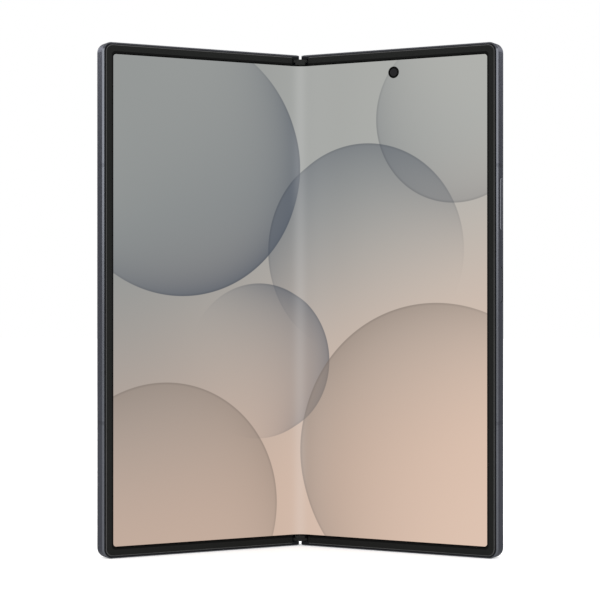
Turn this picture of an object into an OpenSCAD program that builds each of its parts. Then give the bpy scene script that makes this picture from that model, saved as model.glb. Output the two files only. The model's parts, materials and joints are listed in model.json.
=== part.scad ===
// Book-style folding smartphone, standing partly open on its lower edge.
//
// x runs across the two halves, y from the inner screen to the back, z up.
// Each half is drawn flat first: x is counted from the fold's centre plane, y from the front
// face of its frame. It is then folded forward about its own hinge axis, and the left half
// is the mirror image of the same drawing. Lengths are in millimetres, angles in degrees.

/* [Halves] */
// Height of the device, along the fold
body_h = 153.5; // [140:0.5:170]
// Width of one half, from the fold's centre plane to its outer edge
half_w = 66.3; // [60:0.1:75]
// Thickness of one half's frame
half_t = 5.6; // [5.6:0.1:7]
// Angle that each half is folded forward from flat
fold = 27.6; // [5:0.1:60]
// Radius of the outer corners
corner_r = 3; // [2.5:0.1:5]
// Width of the bevel at the front edge of the frame
bevel_w = 0.35; // [0.1:0.05:0.4]
// Depth of that bevel
bevel_d = 0.8; // [0.3:0.05:1.2]
// Radius of the back edge of the frame
back_r = 1; // [0.3:0.1:1.4]
// Thickness of the frame's side wall behind the display
side_wall = 1.3; // [1.1:0.1:2]
// Thickness of the frame's upper and lower end walls
end_wall = 1.3; // [1:0.1:1.8]
// Thickness of the frame's middle plate, between display and battery
mid_t = 0.7; // [0.6:0.05:1]

/* [Hinge] */
// Distance of each hinge axis from the fold's centre plane
axis_u = 1.775; // [1.7:0.005:1.85]
// Gap between the two frames' fronts when the device is closed
closed_gap = 0.9; // [0.7:0.05:1.1]
// Thickness of the frame's lip over the spine
lip_t = 0.6; // [0.4:0.05:0.7]
// Half of the gap between the two frames' backs when the device is flat
split_gap = 0.3; // [0.2:0.05:0.4]
// Radius of the upper and lower corners at the fold
split_r = 1.2; // [0.5:0.1:2]
// Wall thickness of the spine housing
spine_wall = 0.4; // [0.3:0.05:0.5]
// Running gap around the spine and the moving hinge parts
run_gap = 0.1; // [0.05:0.01:0.15]
// Inner radius of the curved rotation arms
arm_r = 2.3; // [2.2:0.05:2.4]
// Radial thickness of the rotation arms
arm_t = 0.6; // [0.4:0.05:0.7]
// Length of a rotation arm along the fold
arm_l = 5; // [3:0.5:7]
// Sweep of a rotation arm's curve
arm_sweep = 130; // [110:1:132]
// Length of the arms' flat roots, from the fold's centre plane
root_u = 10.7; // [10.4:0.1:13]
// Distance of the outer brackets from mid-height
bracket_z = 46; // [30:1:55]
// Length of the outer brackets along the fold
bracket_l = 15; // [14:0.5:20]
// Length of the gear bracket along the fold
gear_bracket_l = 9; // [7:0.5:14]

/* [Synchronising gears] */
// Teeth of each idler gear
idler_teeth = 14; // [14:1:14]
// Teeth that a full circle of the arm's gear sector would have
sector_teeth = 16; // [16:1:16]
// Module of the gears
gear_module = 0.143; // [0.138:0.001:0.145]
// Pressure angle of the teeth
gear_angle = 25; // [22:1:27]
// Face width of the gears
gear_w = 3; // [2:0.5:4]
// Play between two meshing teeth on the pitch circle
backlash = 0.02; // [0.015:0.005:0.04]
// Radius of the idlers' shaft ends
shaft_r = 0.45; // [0.3:0.05:0.5]
// Length of a shaft end in its bearing
shaft_l = 1.5; // [1:0.1:2]

/* [Inner display] */
// Black border from the outer edge of the half to the lit picture
side_border = 3.3; // [3:0.1:5]
// Border from the upper or lower edge to the lit picture
end_border = 3.6; // [3.4:0.1:5]
// Width of the black line between the bezel and the lit picture
dark_line = 0.3; // [0.1:0.05:0.4]
// Width of the frame's raised rim
rim_w = 0.4; // [0.3:0.05:0.5]
// Width of the groove between rim and bezel
groove_w = 0.45; // [0.2:0.05:0.5]
// Depth of the step that the bezel sits on
seat_w = 0.1; // [0.05:0.05:0.2]
// Height of the bezel above the frame's front
bezel_up = 0.3; // [0.15:0.05:0.35]
// Bevel on the outer edge of the bezel
bezel_bevel = 0.18; // [0.05:0.01:0.25]
// Distance of the bezel's ends from the fold's centre plane
bezel_u = 3.4; // [3.3:0.05:4]
// Thickness of the flexible display
display_t = 0.5; // [0.4:0.05:0.55]
// Thickness of the plates that back the display
plate_t = 0.3; // [0.2:0.05:0.35]
// Inner radius of the display's curve at the fold
crease_r = 5.4; // [4:0.1:6]
// Inner edge of the tilting wing plates
wing_u = 2.2; // [2.1:0.05:3]
// Pivot of the tilting wing plates
wing_pivot_u = 9; // [8.5:0.1:9.2]
// Tilt of a wing plate when the device is closed
wing_tilt = 4; // [1:0.5:4.5]

/* [Outer glass] */
// Thickness of the glass on the backs
glass_t = 0.55; // [0.4:0.05:0.7]
// Inner edge of the glass, from the fold's centre plane
glass_u = 3.6; // [3.4:0.1:5]
// Frame left around the glass
glass_border = 0.85; // [0.8:0.05:1.5]
// Gap around the glass
glass_gap = 0.05; // [0.02:0.01:0.1]
// Thickness of the cover display
cover_display_t = 0.6; // [0.4:0.05:0.7]

/* [Cameras] */
// Number of rear cameras
camera_count = 3; // [1:1:3]
// Distance between two rear cameras
camera_pitch = 14; // [12.5:0.1:15]
// Width of the camera island
island_w = 15.5; // [14:0.1:17]
// Height of the camera island over the back glass
island_up = 1.3; // [0.5:0.1:2]
// Distance of the island's axis from the outer edge
island_side = 12; // [10:0.1:13]
// Distance of the top camera from the upper edge
island_top = 16; // [15:0.5:20]
// Outer radius of a lens ring
ring_r = 5.7; // [5.2:0.1:6]
// Inner radius of a lens ring, and of the bore behind it
lens_r = 4.6; // [4:0.1:4.9]
// Height of a lens ring over the island
ring_up = 0.6; // [0.3:0.1:1]
// Radius of the flash window
flash_r = 2.2; // [1.5:0.1:3]
// Distance of the inner camera from the fold's centre plane
inner_camera_u = 32.5; // [28:0.1:36]
// Distance of the inner camera from the upper edge
inner_camera_top = 7.25; // [6.5:0.05:8]
// Radius of the inner camera's hole in the display
inner_camera_r = 1.8; // [1.5:0.05:2]
// Distance of the cover camera from the fold's centre plane
cover_camera_u = 35; // [32:0.1:38]
// Distance of the cover camera from the upper edge
cover_camera_top = 7.5; // [7:0.1:8.5]

/* [Keys] */
// Length of the volume rocker
volume_l = 15.5; // [12:0.1:20]
// Distance of the volume rocker's middle from the upper edge
volume_z = 48.1; // [45.5:0.1:53.5]
// Height of the volume rocker over the frame's side
volume_up = 0.25; // [0.1:0.05:0.5]
// Length of the side key
side_key_l = 10.4; // [8:0.1:14]
// Distance of the side key's middle from the upper edge
side_key_z = 72.1; // [69.5:0.1:78.5]
// Depth of the side key below the frame's side
side_key_sunk = 0.05; // [0:0.01:0.15]
// Width of both keys
key_w = 2.2; // [1.8:0.1:2.6]
// Gap around the keys
key_gap = 0.08; // [0.06:0.01:0.15]

/* [Openings in the edges] */
// Distance of the lower antenna band from the lower edge
band_low = 40.3; // [30:0.1:45]
// Distance of the upper antenna band from the upper edge
band_top = 36.7; // [30:0.1:38]
// Distance of the bands in the end walls from the outer edge
band_u = 18.3; // [16.3:0.1:20.3]
// Width of an antenna band
band_w = 1.1; // [0.8:0.1:1.6]
// Middle of the charging socket, from the fold's centre plane
socket_u = 33.5; // [30:0.5:36]
// Width of the socket's mouth
socket_w = 8.34; // [8.3:0.01:8.4]
// Height of the socket's mouth
socket_h = 2.56; // [2.5:0.01:2.6]
// Depth of the socket
socket_d = 6.2; // [6:0.1:6.6]
// Wall of the socket's shell
socket_wall = 0.3; // [0.2:0.05:0.35]
// Middle of the card tray, from the fold's centre plane
tray_u = 23; // [22:0.5:26]
// Width of the card tray's face
tray_w = 15.4; // [15:0.1:16]
// Height of the card tray's face
tray_h = 2.3; // [2.2:0.1:2.5]
// Length of the card tray
tray_l = 16; // [14:0.5:17]
// Number of slots in each speaker grille
grille_count = 4; // [2:1:5]
// Length of a grille slot
grille_l = 2.6; // [1.5:0.1:3]
// Width of a grille slot
grille_w = 1; // [0.6:0.1:1.2]

/* [Inner parts] */
// Thickness of the battery in the camera half
battery_t = 2.9; // [2:0.1:2.95]
// Thickness of the battery in the cover-screen half
left_battery_t = 2.4; // [2:0.1:2.5]
// Thickness of the circuit boards
board_t = 0.8; // [0.6:0.1:0.9]
// Lower end of the battery in the camera half
battery_z0 = 22; // [20:0.5:26]
// Lower end of the battery in the cover-screen half
left_battery_z0 = 30; // [28:0.5:34]
// Distance of that battery's upper end from the upper edge
left_battery_top = 41.5; // [39:0.5:46]
// Gap between a battery and the board beside it
board_gap = 3; // [2:0.5:4]
// Outer radius of the charging coil
coil_r = 17; // [14:0.5:18]
// Radius of the hole in the charging coil
coil_hole_r = 10; // [7:0.5:12]
// Length of the vibration motor
motor_l = 13; // [10:0.5:14]
// Width of the vibration motor
motor_h = 8; // [6:0.5:9]
// Half of the width of the cover camera's housing
cover_camera_half = 3; // [2.5:0.1:3.2]
// Gap around the parts inside
part_gap = 0.1; // [0.05:0.01:0.15]

/* [Hidden] */
$fn = 64;

graphite = "#585a62";
bezel_black = "#222224";
glass_black = "#1b1c1f";
steel = "#a9abae";
gold = "#c9a24d";
board_green = "#24523a";
foil = "#3a3d42";
picture = "#b7aa9f";
band_grey = "#6b6d73";

// Reach of a cutting shape past the solid that it cuts
over = 1;

// --- the hinge, in the plane across the fold ---
axis_w = axis_u - closed_gap / 2;
spine_back = half_t - lip_t - run_gap;
spine_r = spine_back - axis_w;
pocket_r = spine_r + run_gap;
nose_r = axis_u - split_gap - 0.05;
root_w0 = 1.3;
root_w1 = 1.9;
spine_edge = root_w1 + 0.15;
bracket_front = root_w1 + 0.05;
spine_z0 = end_wall + run_gap;
spine_z1 = body_h - spine_z0;
mid_z = body_h / 2;
origin_y = -(fold_y(half_w - bevel_w, 0) + fold_y(split_gap, half_t)) / 2;

// Place of a flat half's point after the fold
function fold_x(u, w) = axis_u + (u - axis_u) * cos(fold) + (w - axis_w) * sin(fold);
function fold_y(u, w) = axis_w - (u - axis_u) * sin(fold) + (w - axis_w) * cos(fold);

// --- the layers of one half, by their distance from the frame's front ---
plate_w0 = seat_w + display_t;
floor_w = plate_w0 + plate_t;
mid_back = floor_w + mid_t;
wing_floor = floor_w + 0.35;
glass_w = half_t - glass_t;

// --- outlines ---
picture_u = half_w - side_border;
picture_z0 = end_border;
picture_z1 = body_h - end_border;
picture_r = 0.9;
bezel_edge = rim_w + groove_w;
recess_edge = 1.1;
recess_z = end_wall + 0.4;
cavity_u0 = axis_u + pocket_r + 0.95;
cavity_u1 = half_w - side_wall;
cavity_z0 = end_wall + 0.3;
wing_notch_u = 4.2;
wing_z0 = picture_z0 + 0.1;
wing_z1 = picture_z1 - 0.1;

// --- gears ---
idler_r = gear_module * idler_teeth / 2;
sector_r = gear_module * sector_teeth / 2;
idler_x = idler_r;
idler_y = axis_w + sqrt(pow(idler_r + sector_r, 2) - pow(axis_u - idler_x, 2));
tooth_up = 0.95 * gear_module;
tooth_down = 1.2 * gear_module;
mesh_angle = 180 - atan((idler_y - axis_w) / (axis_u - idler_x));
gear_z0 = mid_z - gear_w / 2;

// --- places of the hinge arms along the fold ---
arm_gap = 0.9;
bracket_places = [mid_z + bracket_z, mid_z - bracket_z];
boss_w = 3.4;
trim_r = 3 * (arm_r + arm_t);
screw_u = wing_pivot_u + 0.7;
screw_head_r = 0.8;
screw_r = 0.5;

// --- cameras ---
island_u = half_w - island_side;
island_z1 = body_h - island_top;
island_r = island_w / 2;
island_z0 = island_z1 - (camera_count - 1) * camera_pitch;
flash_u = island_u - island_r - 4.5;
flash_z = island_z1;
inner_camera_z = body_h - inner_camera_top;
cover_camera_z = body_h - cover_camera_top;
camera_top_w = half_t + island_up;
barrel_w = camera_top_w - 0.4;
barrel_r = lens_r - 0.4;
// Bores of a camera's barrel: how much narrower than the barrel, and how deep
barrel_bores = [[0.7, 0.5], [1.5, 1], [2.2, 1.3]];

// --- keys ---
key_mid = mid_back + 1.5;
key_flange = 0.5;
flange_u = cavity_u1 - 0.4;
volume_mid = body_h - volume_z;
side_key_mid = body_h - side_key_z;

// --- parts inside ---
inner_u0 = root_u + 3.3;
socket_mid = mid_back + 1.7;
right_microphone_u = socket_u - 12;
left_microphone_u = tray_u + 14;
band_places = [band_low, body_h - band_top];
band_end_u = half_w - band_u;
board_z0 = island_z0 - 16;
board_w = mid_back + part_gap + board_t;
motor_u1 = cavity_u1 - 5.5;
motor_u0 = motor_u1 - motor_l;
motor_z0 = cavity_z0 + 4.4;
speaker_u0 = band_end_u - 9;
left_battery_z1 = body_h - left_battery_top;

// --- card tray ---
tray_mid = mid_back + 1.3;
card_frame_w = tray_w - 2.2;
card_frame_t = 0.9;
reader_w = card_frame_w + 1.4;
reader_t = card_frame_t + 1.3;

// ---------------------------------------------------------------------------
// Placing
// ---------------------------------------------------------------------------
module place_spine() {
  translate([0, origin_y, 0]) children();
}

module place_right() {
  place_spine()
    translate([axis_u, axis_w, 0]) rotate([0, 0, -fold]) translate([-axis_u, -axis_w, 0])
      children();
}

module place_left() {
  mirror([1, 0, 0]) place_right() children();
}

// ---------------------------------------------------------------------------
// Shapes that repeat
// ---------------------------------------------------------------------------
// Block between two corners
module block(u0, u1, w0, w1, z0, z1) {
  translate([u0, w0, z0]) cube([u1 - u0, w1 - w0, z1 - z0]);
}

// Round post along the thickness
module post(u, z, w0, w1, r) {
  translate([u, w0, z]) rotate([-90, 0, 0]) cylinder(h = w1 - w0, r = r);
}

// Flat layer of an outline that is drawn in the plane of the screen
module layer(w0, w1) {
  translate([0, w1, 0]) rotate([90, 0, 0]) linear_extrude(w1 - w0) children();
}

// Rectangle with its own corner radius on the fold's side and on the outer side
module sheet(u0, u1, z0, z1, r_in, r_out) {
  translate([u0 + r_in, z0]) square([u1 - r_out - u0 - r_in, z1 - z0]);
  if (r_in > 0) {
    translate([u0, z0 + r_in]) square([2 * r_in, z1 - z0 - 2 * r_in]);
    for (z = [z0 + r_in, z1 - r_in]) translate([u0 + r_in, z]) circle(r = r_in);
  }
  translate([u1 - 2 * r_out, z0 + r_out]) square([2 * r_out, z1 - z0 - 2 * r_out]);
  for (z = [z0 + r_out, z1 - r_out]) translate([u1 - r_out, z]) circle(r = r_out);
}

// Slot with round ends, its long side along x
module slot(w, h) {
  square([w - h, h], center = true);
  for (x = [-1, 1]) translate([x * (w - h) / 2, 0]) circle(d = h);
}

// A profile run along the lower, outer and upper edge of a half's outline; its x is counted
// outwards from that edge
module edge_run(u0, u1, z0, z1, r) {
  translate([u1, 0, z0 + r]) linear_extrude(z1 - z0 - 2 * r) children();
  translate([u1 - r, 0, z1]) rotate([0, -90, 0]) linear_extrude(u1 - r - u0) children();
  translate([u0, 0, z0]) rotate([0, 90, 0]) linear_extrude(u1 - r - u0) children();
  translate([u1 - r, 0, z0 + r]) rotate([-90, 0, 0])
    rotate_extrude(angle = 90) translate([r, 0]) children();
  translate([u1 - r, 0, z1 - r]) rotate([-90, 0, 0]) rotate([0, 0, -90])
    rotate_extrude(angle = 90) translate([r, 0]) children();
}

module bevel_profile(w0, width, depth) {
  polygon([
    [over, w0 - over], [over, w0 + depth], [0, w0 + depth], [-width, w0], [-width, w0 - over]
  ]);
}

module round_profile(w1, r) {
  difference() {
    translate([-r, w1 - r]) square([r + over, r + over]);
    translate([-r, w1 - r]) circle(r = r);
  }
}

// ---------------------------------------------------------------------------
// Frame of one half
// ---------------------------------------------------------------------------
module frame_blank() {
  difference() {
    layer(0, half_t) sheet(split_gap, half_w, 0, body_h, split_r, corner_r);
    edge_run(-over, half_w, 0, body_h, corner_r) bevel_profile(0, bevel_w, bevel_d);
    edge_run(-over, half_w, 0, body_h, corner_r) round_profile(half_t, back_r);
    layer(-over, seat_w)
      sheet(-over, half_w - rim_w, rim_w, body_h - rim_w, 0, corner_r - rim_w);
    nose_cut();
  }
}

// Rounds the end walls about the hinge axis, so that they pass each other
module nose_cut() {
  difference() {
    block(-over, axis_u, -over, axis_w, -over, body_h + over);
    translate([axis_u, axis_w, -2 * over]) cylinder(h = body_h + 4 * over, r = nose_r);
  }
}

// Room for the spine between the end walls
module hinge_pocket() {
  translate([axis_u, axis_w, end_wall]) cylinder(h = body_h - 2 * end_wall, r = pocket_r);
  block(-over, axis_u, -over, axis_w + pocket_r, end_wall, body_h - end_wall);
  block(-over, axis_u + pocket_r, -over, axis_w, end_wall, body_h - end_wall);
}

module display_recess() {
  layer(-over, floor_w)
    sheet(-over, half_w - recess_edge, recess_z, body_h - recess_z, 0, corner_r - recess_edge);
  block(-over, wing_pivot_u + 0.1, -over, wing_floor, wing_z0 - 0.2, wing_z1 + 0.2);
}

module back_cavity() {
  layer(mid_back, glass_w + over)
    sheet(cavity_u0, cavity_u1, cavity_z0, body_h - cavity_z0, 0.5, corner_r - side_wall);
  layer(glass_w, half_t + over) glass_outline(0);
}

module glass_outline(gap) {
  sheet(glass_u + gap, half_w - glass_border - gap, glass_border + gap,
    body_h - glass_border - gap, 1, corner_r - glass_border);
}

// Blocks that the screws of a hinge arm go into
module arm_boss(z0, z1) {
  block(cavity_u0 - 0.2, root_u + 1.5, mid_back - 0.2, boss_w, z0 - 0.6, z1 + 0.6);
}

module arm_slot(z0, z1) {
  block(axis_u, root_u + run_gap, wing_floor, root_w1 + run_gap, z0 - run_gap, z1 + run_gap);
}

module screw_holes(z0, z1) {
  for (z = screw_row(z0, z1)) {
    post(screw_u, z, 0, root_w1, screw_head_r + 0.15);
    post(screw_u, z, 0, boss_w - 0.4, screw_r + 0.02);
  }
}

function screw_row(z0, z1) =
  z1 - z0 > 4 ? [z0 + 1.2, z1 - 1.2] : [(z0 + z1) / 2];

// Spans along the fold of the arms of one half: two rotation arms and the sync arm
function arm_spans(side) = [
  for (c = bracket_places) side > 0 ? [c + arm_gap, c + arm_gap + arm_l]
                                    : [c - arm_gap - arm_l, c - arm_gap],
  [gear_z0, gear_z0 + gear_w]
];

// Slices of the walls that the antenna bands fill
module band_slices() {
  for (z = band_places)
    block(half_w - recess_edge, half_w + over, -over, half_t + over,
      z - band_w / 2, z + band_w / 2);
  for (z = [-over, body_h - end_wall])
    block(band_end_u - band_w / 2, band_end_u + band_w / 2, -over, half_t + over,
      z, z + end_wall + over);
}

module half_frame(side) {
  difference() {
    union() {
      difference() {
        frame_blank();
        hinge_pocket();
        display_recess();
        back_cavity();
        band_slices();
      }
      for (s = arm_spans(side)) arm_boss(s[0], s[1]);
    }
    for (s = arm_spans(side)) {
      arm_slot(s[0], s[1]);
      screw_holes(s[0], s[1]);
    }
  }
}

module antenna_bands() {
  color(band_grey) intersection() {
    difference() {
      frame_blank();
      display_recess();
      back_cavity();
    }
    band_slices();
  }
}

module right_frame() {
  color(graphite) place_right() difference() {
    half_frame(1);
    key_slot(volume_mid, volume_l);
    key_slot(side_key_mid, side_key_l);
    socket_hole();
    for (z = [0, body_h - cavity_z0]) microphone_hole(right_microphone_u, z);
    post(inner_camera_u, inner_camera_z, 0, mid_back + over, inner_camera_r + part_gap);
  }
}

module left_frame() {
  color(graphite) place_left() difference() {
    half_frame(-1);
    tray_hole();
    for (z = [0, body_h - cavity_z0]) grille(z);
    microphone_hole(left_microphone_u, 0);
  }
}

// Slot in the side wall for a key
module key_slot(z, length) {
  translate([cavity_u1 - over, key_mid, z]) rotate([0, 90, 0])
    linear_extrude(side_wall + 2 * over) slot(length + 2 * key_gap, key_w + 2 * key_gap);
}

module socket_hole() {
  translate([socket_u, socket_mid, -over]) linear_extrude(cavity_z0 + 2 * over)
    slot(socket_w + 2 * socket_wall + 2 * part_gap, socket_h + 2 * socket_wall + 2 * part_gap);
}

module microphone_hole(u, z) {
  translate([u, socket_mid, z - over]) cylinder(h = cavity_z0 + 2 * over, r = 0.4);
}

module tray_hole() {
  translate([tray_u, tray_mid, body_h - cavity_z0 - over]) linear_extrude(cavity_z0 + 2 * over)
    slot(tray_w + 2 * key_gap, tray_h + 2 * key_gap);
}

// Row of grille slots through an end wall
module grille(z) {
  for (i = [0 : grille_count - 1])
    translate([band_end_u + 3 + i * (grille_l + 0.6), socket_mid, z - over])
      linear_extrude(cavity_z0 + 2 * over) slot(grille_l, grille_w);
}

// ---------------------------------------------------------------------------
// Inner display
// ---------------------------------------------------------------------------
module bezel() {
  color(bezel_black) difference() {
    layer(-bezel_up, seat_w)
      sheet(bezel_u, half_w - bezel_edge, bezel_edge, body_h - bezel_edge, 0.4,
        corner_r - bezel_edge);
    layer(-bezel_up - over, seat_w + over)
      sheet(-over, picture_u + dark_line, picture_z0 - dark_line, picture_z1 + dark_line, 0,
        picture_r + dark_line);
    edge_run(bezel_u - over, half_w - bezel_edge, bezel_edge, body_h - bezel_edge,
        corner_r - bezel_edge)
      bevel_profile(-bezel_up, bezel_bevel, bezel_bevel);
  }
}

module display_sheet(w0, w1, u0) {
  layer(w0, w1)
    sheet(u0, half_w - recess_edge - part_gap, recess_z + part_gap,
      body_h - recess_z - part_gap, 0, corner_r - recess_edge - part_gap);
}

module inner_display_right() {
  color(picture) place_right() difference() {
    display_sheet(seat_w, plate_w0, wing_pivot_u);
    post(inner_camera_u, inner_camera_z, 0, mid_back, inner_camera_r);
  }
}

module inner_display_left() {
  color(picture) place_left() display_sheet(seat_w, plate_w0, wing_pivot_u);
}

module display_plate_right() {
  color(steel) place_right() difference() {
    display_sheet(plate_w0, floor_w, wing_pivot_u + 0.1);
    post(inner_camera_u, inner_camera_z, 0, mid_back, inner_camera_r + part_gap);
  }
}

module display_plate_left() {
  color(steel) place_left() display_sheet(plate_w0, floor_w, wing_pivot_u + 0.1);
}

// Thin plate that tilts away from the display, to leave room for its loop
module wing_plate() {
  color(steel) translate([wing_pivot_u, (plate_w0 + floor_w) / 2, 0])
    rotate([0, 0, -wing_tilt * fold / 90])
      difference() {
        block(wing_u - wing_pivot_u, -0.05, -plate_t / 2, plate_t / 2, wing_z0, wing_z1);
        for (i = [-5 : 5])
          block(-3, -1, -over, over, mid_z + i * 12 - 4, mid_z + i * 12 + 4);
        block(-wing_pivot_u, wing_notch_u - wing_pivot_u, -over, over,
          gear_z0 - 0.5, gear_z0 + gear_w + 0.5);
      }
}

module wing_plate_right() {
  place_right() wing_plate();
}

module wing_plate_left() {
  place_left() wing_plate();
}

// The flexible stretch: a round valley that runs tangent into the two flat sheets
module inner_display_fold() {
  front_cross = fold_y(0, seat_w) + fold_x(0, seat_w) * tan(fold);
  centre_y = front_cross - crease_r / cos(fold);
  steps = 24;
  arc_angles = [for (i = [0 : steps]) fold * (1 - 2 * i / steps)];
  function arc(r) = [for (t = arc_angles) [r * sin(t), centre_y + r * cos(t)]];
  function reversed(list) = [for (i = [len(list) - 1 : -1 : 0]) list[i]];
  color(picture) place_spine() translate([0, 0, picture_z0 - dark_line])
    linear_extrude(picture_z1 - picture_z0 + 2 * dark_line)
      polygon(concat(
        [sheet_end(seat_w, 1)], arc(crease_r), [sheet_end(seat_w, -1)],
        [sheet_end(plate_w0, -1)], reversed(arc(crease_r + display_t)),
        [sheet_end(plate_w0, 1)]
      ));
}

// Corner of the rigid sheet's end, where the flexible stretch joins it
function sheet_end(w, side) = [side * fold_x(wing_pivot_u, w), fold_y(wing_pivot_u, w)];

// ---------------------------------------------------------------------------
// Spine
// ---------------------------------------------------------------------------
module spine_outline(wall, front) {
  intersection() {
    union() {
      for (x = [-1, 1]) translate([x * axis_u, axis_w]) circle(r = spine_r - wall);
      translate([-axis_u, axis_w]) square([2 * axis_u, spine_r - wall]);
    }
    translate([-half_w / 2, front]) square([half_w, half_t]);
  }
}

module spine_housing() {
  color(graphite) place_spine() difference() {
    translate([0, 0, spine_z0]) linear_extrude(spine_z1 - spine_z0) spine_outline(0, spine_edge);
    translate([0, 0, spine_z0 + 0.6]) linear_extrude(spine_z1 - spine_z0 - 1.2)
      spine_outline(spine_wall, 0);
  }
}

// Room for the display's loop when the device is closed
module loop_channel(length) {
  translate([-1.6, 0, -over]) cube([3.2, bracket_front + 1, length + 2 * over]);
}

// Curved groove that a rotation arm slides in
module arm_groove() {
  translate([axis_u, axis_w]) difference() {
    circle(r = arm_r + arm_t + run_gap / 2);
    circle(r = arm_r - run_gap / 2);
    polygon([[0, 0], for (t = [arm_sweep + 2, 230, 300]) trim_r * [cos(t), sin(t)], [0, -trim_r]]);
  }
}

module hinge_bracket(centre) {
  color(steel) place_spine() translate([0, 0, centre - bracket_l / 2]) difference() {
    linear_extrude(bracket_l) spine_outline(spine_wall, bracket_front);
    loop_channel(bracket_l);
    for (side = [-1, 1])
      translate([0, 0, bracket_l / 2 + (side > 0 ? arm_gap : -arm_gap - arm_l) - run_gap])
        linear_extrude(arm_l + 2 * run_gap)
          if (side > 0) arm_groove();
          else mirror([1, 0]) arm_groove();
  }
}

module hinge_bracket_upper() {
  hinge_bracket(bracket_places[0]);
}

module hinge_bracket_lower() {
  hinge_bracket(bracket_places[1]);
}

module gear_bracket() {
  color(steel) place_spine() translate([0, 0, mid_z]) difference() {
    translate([0, 0, -gear_bracket_l / 2])
      linear_extrude(gear_bracket_l) spine_outline(spine_wall, bracket_front);
    for (x = [-1, 1]) {
      translate([x * idler_x, idler_y, -gear_w / 2 - run_gap])
        cylinder(h = gear_w + 2 * run_gap, r = idler_r + tooth_up + run_gap / 2);
      translate([x * axis_u, axis_w, -gear_w / 2 - run_gap])
        cylinder(h = gear_w + 2 * run_gap, r = sector_r + tooth_up + run_gap / 2);
      translate([x * idler_x, idler_y, -gear_w / 2 - shaft_l - run_gap])
        cylinder(h = gear_w + 2 * shaft_l + 2 * run_gap, r = shaft_r + 0.03);
    }
  }
}

module display_support_bars() {
  bar_gap = gear_bracket_l / 2 + 0.5;
  color(steel) place_spine()
    for (z = [[spine_z0 + 2, mid_z - bar_gap], [mid_z + bar_gap, spine_z1 - 2]])
      translate([-1.5, bracket_front + 1 - 0.25, z[0]]) cube([3, 0.25, z[1] - z[0]]);
}

// Soft end of the crease: a bar across the spine's end and a tongue that runs into the fold
module crease_cap() {
  color(bezel_black) place_spine() {
    translate([0, 0, spine_z0]) linear_extrude(1) cap_outline(2.3);
    translate([0, 0, spine_z0 + 1]) linear_extrude(picture_z0 - dark_line - spine_z0 - 1.1)
      cap_outline(1.6);
    translate([-1, 1.1, spine_z0]) cube([2, spine_edge - 1.1, 0.6]);
  }
}

module cap_outline(half) {
  translate([-half, 0.3]) square([2 * half, 0.9]);
  translate([-half + 0.4, -0.1]) square([2 * half - 0.8, 0.8]);
  for (x = [-1, 1]) translate([x * (half - 0.4), 0.3]) circle(r = 0.4);
}

module crease_cap_bottom() {
  crease_cap();
}

module crease_cap_top() {
  translate([0, 0, body_h]) mirror([0, 0, 1]) crease_cap();
}

// ---------------------------------------------------------------------------
// Gears
// ---------------------------------------------------------------------------
function involute(angle) = tan(angle) * 180 / PI - angle;

// Half of a tooth's angle at radius r
function tooth_half(r, pitch_r, teeth) =
  let (base_r = pitch_r * cos(gear_angle))
  90 / teeth - backlash / 4 / pitch_r * 180 / PI + involute(gear_angle)
  - (r > base_r ? involute(acos(base_r / r)) : 0);

module tooth(pitch_r, teeth) {
  base_r = pitch_r * cos(gear_angle);
  top_r = pitch_r + tooth_up;
  radii = [pitch_r / 2, for (i = [0 : 5]) base_r + (top_r - base_r) * i / 5];
  polygon([
    for (r = radii) let (t = tooth_half(r, pitch_r, teeth)) r * [cos(t), sin(t)],
    for (i = [len(radii) - 1 : -1 : 0])
      let (t = -tooth_half(radii[i], pitch_r, teeth)) radii[i] * [cos(t), sin(t)]
  ]);
}

// A gear with one tooth centred at angle phase, and teeth only between two angles
module gear(pitch_r, teeth, phase, from, to) {
  first = ceil((from - phase) * teeth / 360);
  last = floor((to - phase) * teeth / 360);
  cylinder(h = gear_w, r = pitch_r - tooth_down);
  for (i = [first : last])
    rotate(phase + i * 360 / teeth) linear_extrude(gear_w) tooth(pitch_r, teeth);
}

// Phase of the sector that meshes with an idler, seen at rest, for the direction from the
// hinge axis to the idler
function sector_phase(direction, idler_phase) =
  direction + 360 / sector_teeth
    * (0.5 - (idler_phase - direction - 180) * idler_teeth / 360);

idler_phase_right = 180;
idler_phase_left = 180 / idler_teeth;
sector_phase_right = sector_phase(mesh_angle, idler_phase_right) + fold;
sector_phase_left = 180 - sector_phase(180 - mesh_angle, idler_phase_left) + fold;

module idler_gear(x, phase) {
  color(gold) place_spine() translate([x, idler_y, gear_z0]) {
    gear(idler_r, idler_teeth, phase, phase, phase + 360 - 180 / idler_teeth);
    translate([0, 0, -shaft_l]) cylinder(h = gear_w + 2 * shaft_l, r = shaft_r);
  }
}

module idler_gear_right() {
  idler_gear(idler_x, idler_phase_right);
}

module idler_gear_left() {
  idler_gear(-idler_x, idler_phase_left);
}

// Arm with a gear sector about the hinge axis, screwed to its half
module sync_arm(phase) {
  color(gold) translate([0, 0, gear_z0]) difference() {
    union() {
      translate([axis_u, axis_w, 0])
        gear(sector_r, sector_teeth, phase, mesh_angle - 12, mesh_angle + 90 + 12);
      block(axis_u, root_u, root_w0, root_w1, 0, gear_w);
    }
    translate([axis_u - 0.4, -over, -over]) cube([4, over + floor_w + 0.1, gear_w + 2 * over]);
    post(screw_u, gear_w / 2, 0, half_t, screw_r + 0.02);
  }
}

module sync_arm_right() {
  place_right() sync_arm(sector_phase_right);
}

module sync_arm_left() {
  place_left() sync_arm(sector_phase_left);
}

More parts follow.
